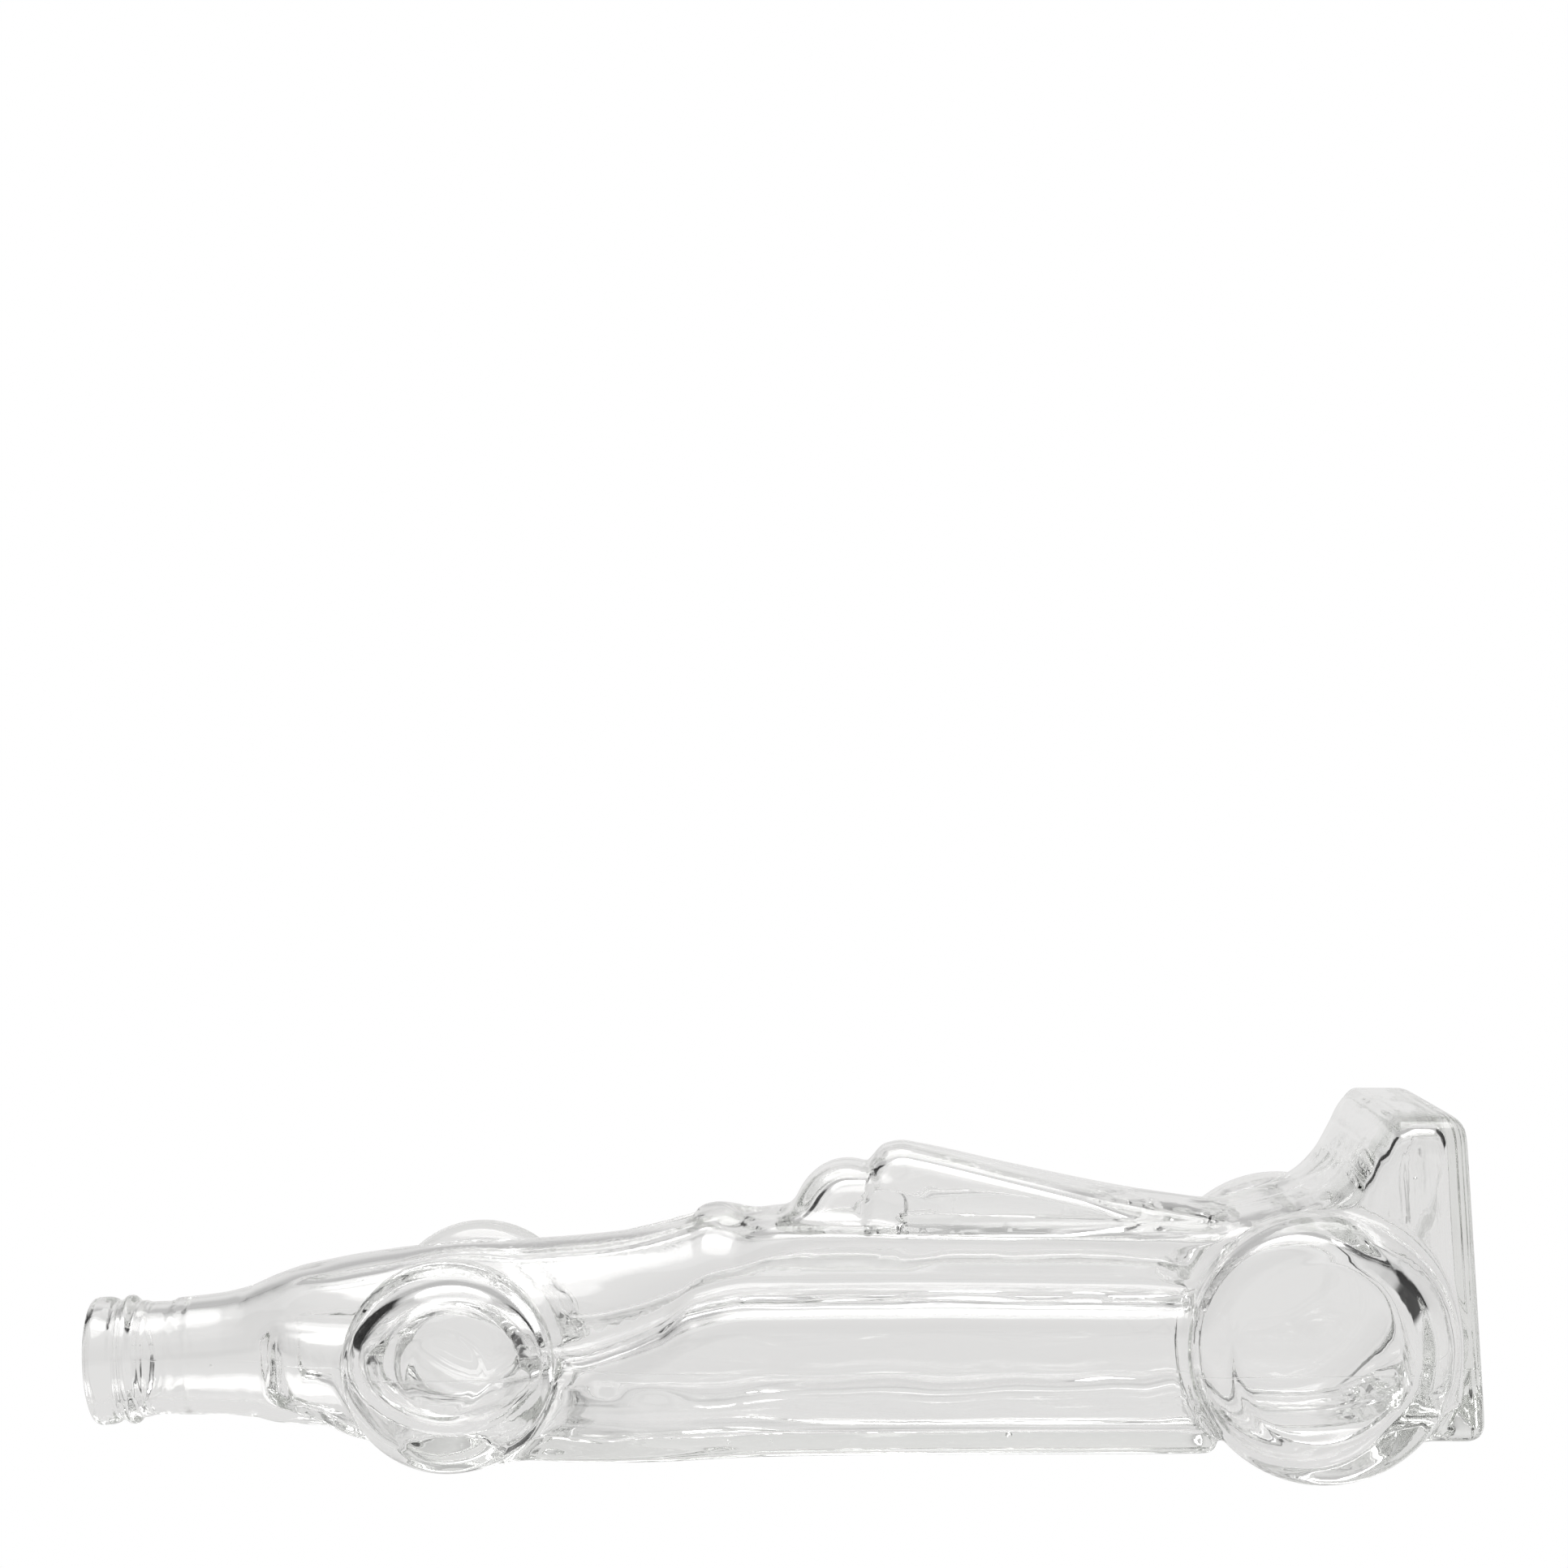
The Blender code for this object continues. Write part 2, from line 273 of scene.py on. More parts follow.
@dataclass(frozen=True)
class Neck:
    """The neck and its bar-top finish: lip, groove, bead and collar, with the bore."""

    lip_radius: float = 0.0136
    lip_edge: float = 0.0011
    bore_radius: float = 0.0092
    neck_radius: float = 0.01205
    length: float = 0.0330
    outer: Lathe = field(init=False)
    bore: Lathe = field(init=False)

    def __post_init__(self) -> None:
        """Draw the two profiles."""
        lip, edge = self.lip_radius, self.lip_edge
        profile = (
            (0.0, 0.0),
            (0.0, lip - edge * 1.5),
            (edge * 0.35, lip - edge * 0.45),
            (edge * 1.2, lip),
            (0.0050 - edge, lip),
            (0.0053, lip - edge * 0.35),
            (0.0058, lip - 0.0009),
            (0.0067, lip - 0.0009),
            (0.0073, lip - 0.0004),
            (0.0080, lip + 0.0001),
            (0.0091, lip + 0.0001),
            (0.0098, lip - 0.0005),
            (0.0104, lip - 0.0012),
            (0.0118, lip - 0.0012),
            (0.0128, self.neck_radius),
            (0.0180, self.neck_radius - 0.0001),
            (self.length, self.neck_radius + 0.0002),
            (self.length, 0.0),
        )
        inner = (
            (-0.0060, 0.0),
            (-0.0060, self.bore_radius + 0.0022),
            (0.0, self.bore_radius + 0.0006),
            (0.0016, self.bore_radius),
            (0.0250, self.bore_radius),
            (0.0420, self.bore_radius + 0.0002),
            (0.0420, 0.0),
        )
        object.__setattr__(self, "outer", Lathe(profile, soften=5, pitch=0.00015))
        object.__setattr__(self, "bore", Lathe(inner, soften=8))

    def distance(self, s: Array, y: Array, z: Array, skin: Skin) -> Array:
        """Distances to the neck's glass or to its bore.

        Args:
            s: Places along the leaning axis.
            y: Places across.
            z: Heights.
            skin: The outside, or the bore.

        Returns:
            Signed distances.
        """
        along = (s - MOUTH_X) * math.cos(math.atan(LEAN))
        centre = MOUTH_HEIGHT + along * math.sin(math.atan(LEAN))
        across = np.hypot(y, z - centre)
        turned = self.outer if skin is Skin.OUTSIDE else self.bore
        return turned.distance(along, across)


@dataclass(frozen=True)
class Spine:
    """Nose, monocoque and tail block: the long form from the shoulder to the standing base."""

    floor: float = 0.0036
    deck: float = 0.0508
    half_width: float = 0.0200
    tail_floor: float = 0.0074
    tail_top: float = 0.0742
    tail_half_width: float = 0.0380
    tail_edge: float = 0.0042
    into_neck: float = 0.0090
    wall: float = 0.0030
    nose_thinning: float = 0.0006
    nose_step: Pair = (SHOULDER_X + 0.0040, -0.090)
    base_wall: float = 0.0042
    front_blend: float = 0.0040
    back_blend: float = 0.0030
    floor_glass: float = 0.0044
    floor_step: Pair = (-0.072, -0.050)
    deck_glass: float = 0.0026
    deck_window: Window = (0.108, 0.118, 0.128, 0.136)
    squareness_kept: float = 0.55
    pod_squareness: float = 0.35
    pod_window: Window = (-0.010, 0.010, 0.085, 0.105)
    tail_squareness: float = 0.25
    tail_step: Pair = (0.115, 0.130)
    push_up: float = 0.0003
    push_up_centre: float = 0.0405
    push_up_half: Pair = (0.0285, 0.0245)
    push_up_edge: float = 0.0040
    panel_depth: float = 0.00030
    panel_blend: float = 0.0004
    roof_slope: float = 0.34
    roof_round: float = 0.0040
    roof_window: Window = (-0.100, -0.066, -0.040, -0.008)
    roof_step: Pair = (0.024, 0.036)
    ridge_height: float = 0.00090
    ridge_width: float = 0.00080
    ridge_window: Window = (-0.1010, -0.0930, -0.0120, -0.0085)
    ridge_step: Pair = (0.022, 0.030)
    well_step: float = 0.0080
    monocoque: Table = (
        (-0.045, 0.560, 2.05, 0.585, 2.0),
        (0.000, 0.615, 1.90, 0.622, 2.0),
        (0.020, 0.690, 1.62, 0.655, 2.0),
        (0.043, 0.775, 1.25, 0.706, 2.1),
        (0.074, 0.860, 1.15, 0.760, 2.2),
        (0.120, 0.930, 1.08, 0.810, 2.4),
        (0.196, 0.975, 1.10, 0.858, 2.7),
        (0.272, 1.000, 1.05, 0.878, 3.0),
        (0.348, 1.000, 1.05, 0.918, 3.3),
        (0.390, 1.000, 1.08, 0.960, 3.4),
        (0.405, 1.000, 1.10, 0.982, 3.4),
        (0.420, 1.000, 1.12, 0.972, 3.6),
        (0.462, 1.000, 1.16, 0.985, 8.0),
        (0.490, 1.005, 1.19, 0.980, 13.0),
        (0.540, 1.010, 1.22, 0.978, 16.0),
        (0.620, 1.030, 1.30, 0.975, 16.0),
        (0.788, 1.150, 1.60, 0.990, 10.0),
    )
    flare: Table = (
        (0.856, 0.690, 0.86, 0.722, 7.5),
        (0.890, 0.815, 0.92, 0.772, 7.5),
        (0.911, 0.900, 0.97, 0.832, 8.5),
        (0.925, 0.960, 1.00, 0.898, 10.0),
        (0.937, 0.990, 1.00, 0.962, 12.0),
        (0.951, 1.000, 1.00, 1.000, 14.0),
        (1.000, 1.000, 1.00, 1.000, 14.0),
    )
    panel_edge: Fairing = Fairing(
        (
            (-0.098, 0.0095),
            (-0.089, 0.0108),
            (-0.075, 0.0095),
            (-0.060, 0.0081),
            (-0.043, 0.0081),
            (-0.026, 0.0090),
            (-0.012, 0.0092),
            (-0.006, 0.0085),
        )
    )

    def stations(self) -> Fairing:
        """The stations of the whole spine."""
        body = (BODY_LENGTH, self.half_width, self.floor, self.deck, 1.0)
        tail = (BODY_LENGTH, self.tail_half_width, self.tail_floor, self.tail_top, 1.0)
        return Fairing(placed(self.monocoque, SHOULDER_X, body) + placed(self.flare, SHOULDER_X, tail))

    def distance(self, s: Array, y: Array, z: Array, skin: Skin) -> Array:
        """Distances to the spine's outside, or to the cavity in it.

        Args:
            s: Places along the leaning axis.
            y: Places across.
            z: Heights.
            skin: The outside, or the cavity.

        Returns:
            Signed distances.
        """
        width, low, high, power = self.stations().at(s)
        roof = self.roof_slope * window(s, *self.roof_window)
        z = z + roof * (np.hypot(y, self.roof_round) - self.roof_round) * eased(z, *self.roof_step)
        front = SHOULDER_X - self.into_neck - s
        if skin is Skin.OUTSIDE:
            body = section_distance(y, z, width, low, high, power)
            body = self.with_ridge(body, s, y, z)
            across, upward = self.push_up_half
            panel = np.maximum(np.abs(y) - across, np.abs(z - self.push_up_centre) - upward)
            dish = self.push_up * eased(-panel, 0.0, self.push_up_edge)
            return smooth_meet(np.maximum(body, front), s - TAIL_X + dish, self.tail_edge)
        wall = self.wall - self.nose_thinning * eased(s, *self.nose_step)
        kept = self.pod_squareness * window(s, *self.pod_window)
        kept = kept + self.tail_squareness * eased(s, *self.tail_step) + self.squareness_kept
        high = high - self.deck_glass * window(s, *self.deck_window)
        low = low + self.floor_glass * eased(s, *self.floor_step)
        body = section_distance(y, z, width, low, high, ROUND + (power - ROUND) * kept) + wall
        body = smooth_meet(body, front, self.front_blend)
        return smooth_meet(body, s - TAIL_X + self.base_wall, self.back_blend)

    def between(self, s: Array, y: Array, z: Array, reach: float) -> Array:
        """Distances to the space between the floor and the deck, which widens beside the body.

        Args:
            s: Places along the leaning axis.
            y: Places across.
            z: Heights.
            reach: How far out across the space is held in.

        Returns:
            Signed distances, below zero in the space.
        """
        _, low, high, _ = self.stations().at(s)
        beside = FAR_OUT * eased(np.abs(y), reach, reach + self.well_step)
        return np.maximum(low - z, z - high) - beside

    def with_ridge(self, body: Array, s: Array, y: Array, z: Array) -> Array:
        """Sink the nose's top panel a little and lay a fine ridge along each of its edges.

        Args:
            body: Distances to the plain spine.
            s: Places along the leaning axis.
            y: Places across.
            z: Heights.

        Returns:
            Distances to the spine with its panel and ridges.
        """
        (across,) = self.panel_edge.at(s)
        beside = np.abs(y) - across
        ends = window(s, *self.ridge_window) * eased(z, *self.ridge_step)
        sunk = body + self.panel_depth * ends * eased(-beside, -self.panel_blend, self.panel_blend)
        return sunk - self.ridge_height * ends * np.exp(-((beside / self.ridge_width) ** 2))


@dataclass(frozen=True)
class LowerBody:
    """The low wide body that carries the front wheels and swells into the side pods."""

    half_width: float = 0.0368
    floor: float = 0.0036
    top: float = 0.0372
    length: float = 0.1970
    ahead: float = 0.0403
    floor_power: float = 20.0
    end_edge: float = 0.0030
    wall: float = 0.0030
    front_wall: float = 0.0034
    room_beyond: float = 0.0035
    room_blend: float = 0.0060
    room_floor_power: float = 18.0
    squareness_kept: float = 0.8
    floor_glass: float = 0.0026
    floor_step: Pair = (0.0300, 0.0480)
    far_share: float = 0.35
    drop_window: Window = (0.024, 0.030, 0.038, 0.042)
    drops: Table = (
        (0.0040, 0.0262, 0.0012, 0.0120, 0.0024),
        (0.0250, 0.0258, 0.0008, 0.0060, 0.0022),
        (0.0570, 0.0262, 0.0011, 0.0060, 0.0024),
        (0.0760, 0.0262, 0.0009, 0.0045, 0.0022),
    )
    lump_reach: Pair = (0.024, 0.030)
    lump_top: Pair = (0.014, 0.018)
    lumps: Table = (
        (-0.0450, 0.0007, 0.0040),
        (-0.0330, -0.0004, 0.0040),
        (-0.0230, 0.0007, 0.0050),
    )
    stations: Table = (
        (0.000, 0.500, 3.20, 0.760, 0.00, 3.0),
        (0.022, 0.570, 2.90, 0.780, 0.00, 3.2),
        (0.055, 0.630, 2.40, 0.780, 0.00, 3.2),
        (0.105, 0.675, 1.40, 0.780, 0.00, 3.4),
        (0.198, 0.710, 1.00, 0.770, 0.05, 4.0),
        (0.258, 0.860, 0.75, 0.700, 0.22, 4.0),
        (0.300, 0.910, 0.65, 0.640, 0.20, 4.0),
        (0.340, 0.940, 0.62, 0.660, 0.14, 4.0),
        (0.385, 0.960, 0.66, 0.720, 0.08, 4.6),
        (0.430, 0.980, 0.75, 0.815, 0.04, 5.4),
        (0.467, 0.990, 0.88, 0.930, 0.02, 5.8),
        (0.530, 1.000, 1.08, 0.990, 0.00, 6.8),
        (0.756, 1.000, 1.28, 1.000, 0.00, 6.8),
        (0.934, 1.000, 1.36, 1.000, 0.00, 6.8),
        (1.000, 0.990, 1.40, 0.980, 0.00, 6.0),
    )

    def distance(self, s: Array, y: Array, z: Array, skin: Skin) -> Array:
        """Distances to the lower body's outside, or to the cavity in it.

        Args:
            s: Places along the leaning axis.
            y: Places across.
            z: Heights.
            skin: The outside, or the cavity.

        Returns:
            Signed distances.
        """
        start = FRONT_AXLE_X - self.ahead
        end = start + self.length
        sizes = (self.length, self.half_width, self.floor, self.top, 1.0, 1.0)
        width, low, high, taper, power = Fairing(placed(self.stations, start, sizes)).at(s)
        if skin is Skin.OUTSIDE:
            body = section_distance(y, z, width, low, high, power, taper, self.floor_power)
            return smooth_meet(body, np.maximum(start - s, s - end), self.end_edge)
        softer = ROUND + (power - ROUND) * self.squareness_kept
        rise, risen = self.floor_step
        low = low + self.floor_glass * eased(s, start + rise, start + risen)
        room = section_distance(y, z, width, low, high, softer, taper, self.room_floor_power)
        ends = np.maximum(start + self.front_wall - s, s - end - self.room_beyond)
        return smooth_meet(room + self.wall, ends, self.room_blend)

    def sags(self, s: Array, y: Array, z: Array) -> Array:
        """How much thicker the glass is in long drops under the pods' tops and lumps on their floor.

        Args:
            s: Places along the leaning axis.
            y: Places across.
            z: Heights.

        Returns:
            The added thickness.
        """
        drops = np.zeros_like(s)
        for along, across, height, length, width in self.drops:
            u, v = (s - along) / length, (np.abs(y) - across) / width
            drops = drops + height * np.exp(-(u * u + v * v)) * np.where(y > 0, self.far_share, 1.0)
        lumps = np.zeros_like(s)
        for along, height, length in self.lumps:
            lumps = lumps + height * np.exp(-(((s - along) / length) ** 2))
        lumps = lumps * eased(np.abs(y), *self.lump_reach) * (1.0 - eased(z, *self.lump_top))
        return drops * window(z, *self.drop_window) + lumps


@dataclass(frozen=True)
class EngineCover:
    """The airbox's steep front and the cover that slopes down behind it."""

    half_width: float = 0.0203
    height: float = 0.0649
    foot: float = 0.0480
    length: float = 0.0800
    start_behind_axle: float = 0.0878
    floor_power: float = 12.0
    edge: float = 0.0016
    wall: float = 0.0032
    front_wall: float = 0.0038
    room_below: float = 0.0080
    room_floor_power: float = 8.0
    squareness_kept: float = 0.6
    rear_glass: float = 0.0030
    rear_step: Pair = (0.0450, 0.0700)
    room_edges: Pair = (0.0160, 0.0040)
    room_edge_step: Pair = (0.0500, 0.0565)
    stations: Table = (
        (0.000, 0.960, 0.850, 0.46, 4.0),
        (0.030, 0.970, 0.950, 0.52, 5.0),
        (0.065, 0.980, 0.990, 0.54, 6.0),
        (0.110, 0.990, 1.000, 0.54, 6.5),
        (0.150, 1.000, 0.992, 0.53, 6.5),
        (0.400, 1.010, 0.920, 0.38, 6.5),
        (0.700, 1.030, 0.838, 0.18, 6.0),
        (1.000, 1.060, 0.778, 0.06, 5.0),
    )

    def distance(self, s: Array, y: Array, z: Array, skin: Skin) -> Array:
        """Distances to the cover's outside, or to the cavity in it.

        Args:
            s: Places along the leaning axis.
            y: Places across.
            z: Heights.
            skin: The outside, or the cavity.

        Returns:
            Signed distances.
        """
        start = FRONT_AXLE_X + self.start_behind_axle
        sizes = (self.length, self.half_width, self.height, 1.0, 1.0)
        width, high, taper, power = Fairing(placed(self.stations, start, sizes)).at(s)
        low = np.full_like(high, self.foot)
        ends = np.maximum(start - s, s - start - self.length)
        if skin is Skin.OUTSIDE:
            body = section_distance(y, z, width, low, high, power, taper, self.floor_power)
            return smooth_meet(body, ends, self.edge)
        softer = ROUND + (power - ROUND) * self.squareness_kept
        dip, dipped = self.rear_step
        high = high - self.rear_glass * eased(s, start + dip, start + dipped)
        low = low - self.room_below
        room = section_distance(y, z, width, low, high, softer, taper, self.room_floor_power)
        lower, upper = self.room_edges
        rounding = lower + (upper - lower) * eased(z, *self.room_edge_step)
        return smooth_meet(room + self.wall, ends + self.front_wall, rounding)


@dataclass(frozen=True)
class Helmet:
    """The hump of the driver's helmet and the cockpit hollow ahead of it."""

    length: float = 0.0276
    half_width: float = 0.0168
    top_half_width: float = 0.0112
    foot: float = 0.0450
    top: float = 0.0610
    depth: float = 0.0360
    squareness: float = 7.0
    lowest_share: float = -0.2
    wall: float = 0.0034
    room_behind: float = 0.0080
    behind_axle: float = 0.0832
    cockpit_length: float = 0.0220
    cockpit_width: float = 0.0200
    cockpit_depth: float = 0.0036
    cockpit_height: float = 0.0525
    cockpit_ahead: float = 0.0195

    def distance(self, s: Array, y: Array, z: Array, skin: Skin) -> Array:
        """Distances to the helmet, or to the hollow under it.

        Args:
            s: Places along the leaning axis.
            y: Places across.
            z: Heights.
            skin: The outside, or the cavity.

        Returns:
            Signed distances.
        """
        centre_z = self.top - self.depth / 2
        centre_s = FRONT_AXLE_X + self.behind_axle + (centre_z - MOUTH_HEIGHT) * LEAN
        wall, behind = (0.0, 0.0) if skin is Skin.OUTSIDE else (self.wall, self.room_behind)
        a = self.length / 2 - wall + np.where(s > centre_s, behind, 0.0)
        c = self.depth / 2 - wall
        raised = np.clip((z - self.foot) / (self.top - self.foot), self.lowest_share, 1.0)
        b = self.half_width + (self.top_half_width - self.half_width) * raised - wall
        p = self.squareness
        u, v, w = (s - centre_s) / a, np.abs(y) / b, (z - centre_z) / c
        ring = np.hypot(u, w) + TINY
        norm = (ring**p + v**p) ** (1 / p)
        along = (ring / norm) ** (p - 1) * np.hypot(u / a, w / c) / ring
        steep = np.hypot(along, (v / norm) ** (p - 1) / b) + TINY
        return (norm - 1) / steep

    def cockpit(self, s: Array, y: Array, z: Array) -> Array:
        """Distances to the shallow hollow of the cockpit.

        Args:
            s: Places along the leaning axis.
            y: Places across.
            z: Heights.

        Returns:
            Signed distances.
        """
        centre_s = FRONT_AXLE_X + self.behind_axle - self.cockpit_ahead
        a, b, c = self.cockpit_length / 2, self.cockpit_width / 2, self.cockpit_depth
        u, v, w = (s - centre_s) / a, y / b, (z - self.cockpit_height) / c
        norm = np.sqrt(u * u + v * v + w * w) + TINY
        steep = np.sqrt((u / a) ** 2 + (v / b) ** 2 + (w / c) ** 2) / norm + TINY
        return (norm - 1) / steep


@dataclass(frozen=True)
class Windscreen:
    """The raised lip at the back of the nose."""

    lip_x: float = -0.0095
    lip_height: float = 0.0497
    lip_radius: float = 0.0021
    half_span: float = 0.0105
    sweep: float = 0.0055
    fall: float = 0.0028
    flatness: float = 0.50

    def distance(self, s: Array, y: Array, z: Array) -> Array:
        """Distances to the lip, as a bent rod over the nose.

        Args:
            s: Places along the leaning axis.
            y: Places across.
            z: Heights.

        Returns:
            Signed distances.
        """
        bow = np.abs(y) / self.half_span
        rod_s = self.lip_x + self.sweep * bow**2
        rod_z = self.lip_height - self.fall * bow**3
        reach = np.hypot((s - rod_s) * self.flatness, z - rod_z)
        ends = np.maximum(np.abs(y) - self.half_span, 0.0)
        return np.hypot(reach, ends) - self.lip_radius


@dataclass(frozen=True)
class Wheel:
    """A hollow wheel on a stub that opens into the body."""

    axle_x: float
    radius: float
    inside: float
    outside: float
    tyre: tuple[Pair, ...]
    hub_radius: float
    hub_rise: float
    wall: float
    stub_radius: float
    slot: Pair
    hollow: tuple[Pair, ...]
    arcs: tuple[Pair, ...] = ()
    room_ahead: float = 0.0
    far_thinning: float = 0.0
    hub_edge: Pair = (0.0006, 0.0004)
    inner_wall_share: float = 0.8
    throat_share: float = 0.10
    arc_blend: float = 0.0050
    slot_step: Pair = (-0.0010, 0.0065)
    slot_blend: float = 0.0070
    outer: Lathe = field(init=False)
    inner: Lathe = field(init=False)

    def __post_init__(self) -> None:
        """Draw the outer and the inner profile."""
        face = self.outside - max(self.hub_rise, 0.0)
        tread = tuple(
            (self.inside + share * (face - self.inside), reach * self.radius)
            for share, reach in self.tyre
        )
        beside, within = self.hub_edge
        hub = (
            (face, self.hub_radius + beside),
            (face + self.hub_rise, self.hub_radius - within),
            (face + self.hub_rise, 0.0),
        )
        outer = ((0.0, 0.0), (0.0, self.stub_radius), (self.inside, self.stub_radius))
        object.__setattr__(self, "outer", Lathe(outer + tread + hub, soften=22))
        room = self.radius - self.wall
        start, end = self.inside + self.wall * self.inner_wall_share, face - self.wall
        span = end - start
        hollow = (
            (0.0, 0.0),
            (0.0, self.stub_radius - self.wall),
            (start - self.throat_share * span, self.stub_radius - self.wall),
            *((start + share * span, reach * room) for share, reach in self.hollow),
            (end, 0.0),
        )
        object.__setattr__(self, "inner", Lathe(hollow, soften=40))

    def distance(self, s: Array, y: Array, z: Array, skin: Skin) -> Array:
        """Distances to both wheels of the pair, or to the room in them.

        Args:
            s: Places along the leaning axis.
            y: Places across.
            z: Heights.
            skin: The outside, or the cavity.

        Returns:
            Signed distances.
        """
        x = s - (z - MOUTH_HEIGHT) * LEAN
        across = np.hypot(x - self.axle_x, z - self.radius)
        if skin is Skin.OUTSIDE:
            return self.outer.distance(np.abs(y), across)
        low, high = self.slot
        across = np.hypot(x - self.axle_x + self.room_ahead * (y < 0), z - self.radius)
        if self.arcs:
            (top_z, top_r), (foot_z, foot_r) = self.arcs
            top = np.hypot(x - self.axle_x, z - top_z) - top_r
            foot = np.hypot(x - self.axle_x, z - foot_z) - foot_r
            hollow = self.radius - self.wall - smooth_union(-top, -foot, self.arc_blend)
            across = np.maximum(hollow, 0.0)
        room = self.inner.distance(np.abs(y), across) - self.far_thinning * (y > 0)
        rise, risen = self.slot_step
        beside = FAR_OUT * eased(np.abs(y), self.inside + rise, self.inside + risen)
        return smooth_meet(room, np.maximum(low - z, z - high) - beside, self.slot_blend)


@dataclass(frozen=True)
class SurfaceNet:
    """Draws the skin of a field on a box grid that may be finer in places."""

    s: Array
    y: Array
    z: Array

    def draw(self, values: Array) -> tuple[Array, Array]:
        """Find the skin.

        Args:
            values: The field at the grid's points.

        Returns:
            The skin's points in grid space, and its four-sided faces.
        """
        inside = values < 0
        shape = tuple(n - 1 for n in values.shape)
        total = np.zeros(shape + (3,))
        count = np.zeros(shape)
        axes = (self.s, self.y, self.z)
        edges = []
        for axis in range(3):
            low = tuple(slice(None, -1) if k == axis else slice(None) for k in range(3))
            high = tuple(slice(1, None) if k == axis else slice(None) for k in range(3))
            i, j, k = np.nonzero(inside[low] != inside[high])
            first, second = values[low][i, j, k], values[high][i, j, k]
            share = first / (first - second)
            place = np.stack([self.s[i], self.y[j], self.z[k]], axis=1)
            index = (i, j, k)[axis]
            line = axes[axis]
            place[:, axis] = line[index] + share * (line[index + 1] - line[index])
            edges.append((np.stack([i, j, k], axis=1), inside[low][i, j, k]))
            others = [other for other in range(3) if other != axis]
            for back_a in (0, 1):
                for back_b in (0, 1):
                    cell = np.stack([i, j, k], axis=1)
                    cell[:, others[0]] -= back_a
                    cell[:, others[1]] -= back_b
                    fits = np.all((cell >= 0) & (cell < np.array(shape)), axis=1)
                    where = tuple(cell[fits].T)
                    np.add.at(total, where, place[fits])
                    np.add.at(count, where, 1)
        used = count > 0
        number = np.full(shape, -1, np.int64)
        number[used] = np.arange(int(used.sum()))
        points = total[used] / count[used][:, None]
        faces = []
        for axis, (cells, first_inside) in enumerate(edges):
            a, b = (axis + 1) % 3, (axis + 2) % 3
            around = []
            for back_a, back_b in ((0, 0), (1, 0), (1, 1), (0, 1)):
                cell = cells.copy()
                cell[:, a] -= back_a
                cell[:, b] -= back_b
                fits = np.all((cell >= 0) & (cell < np.array(shape)), axis=1)
                where = tuple(np.clip(cell, 0, np.array(shape) - 1).T)
                around.append(np.where(fits, number[where], -1))
            quad = np.stack(around, axis=1)
            quad[~first_inside] = quad[~first_inside][:, ::-1]
            faces.append(quad[np.all(quad >= 0, axis=1)])
        return points, np.vstack(faces)


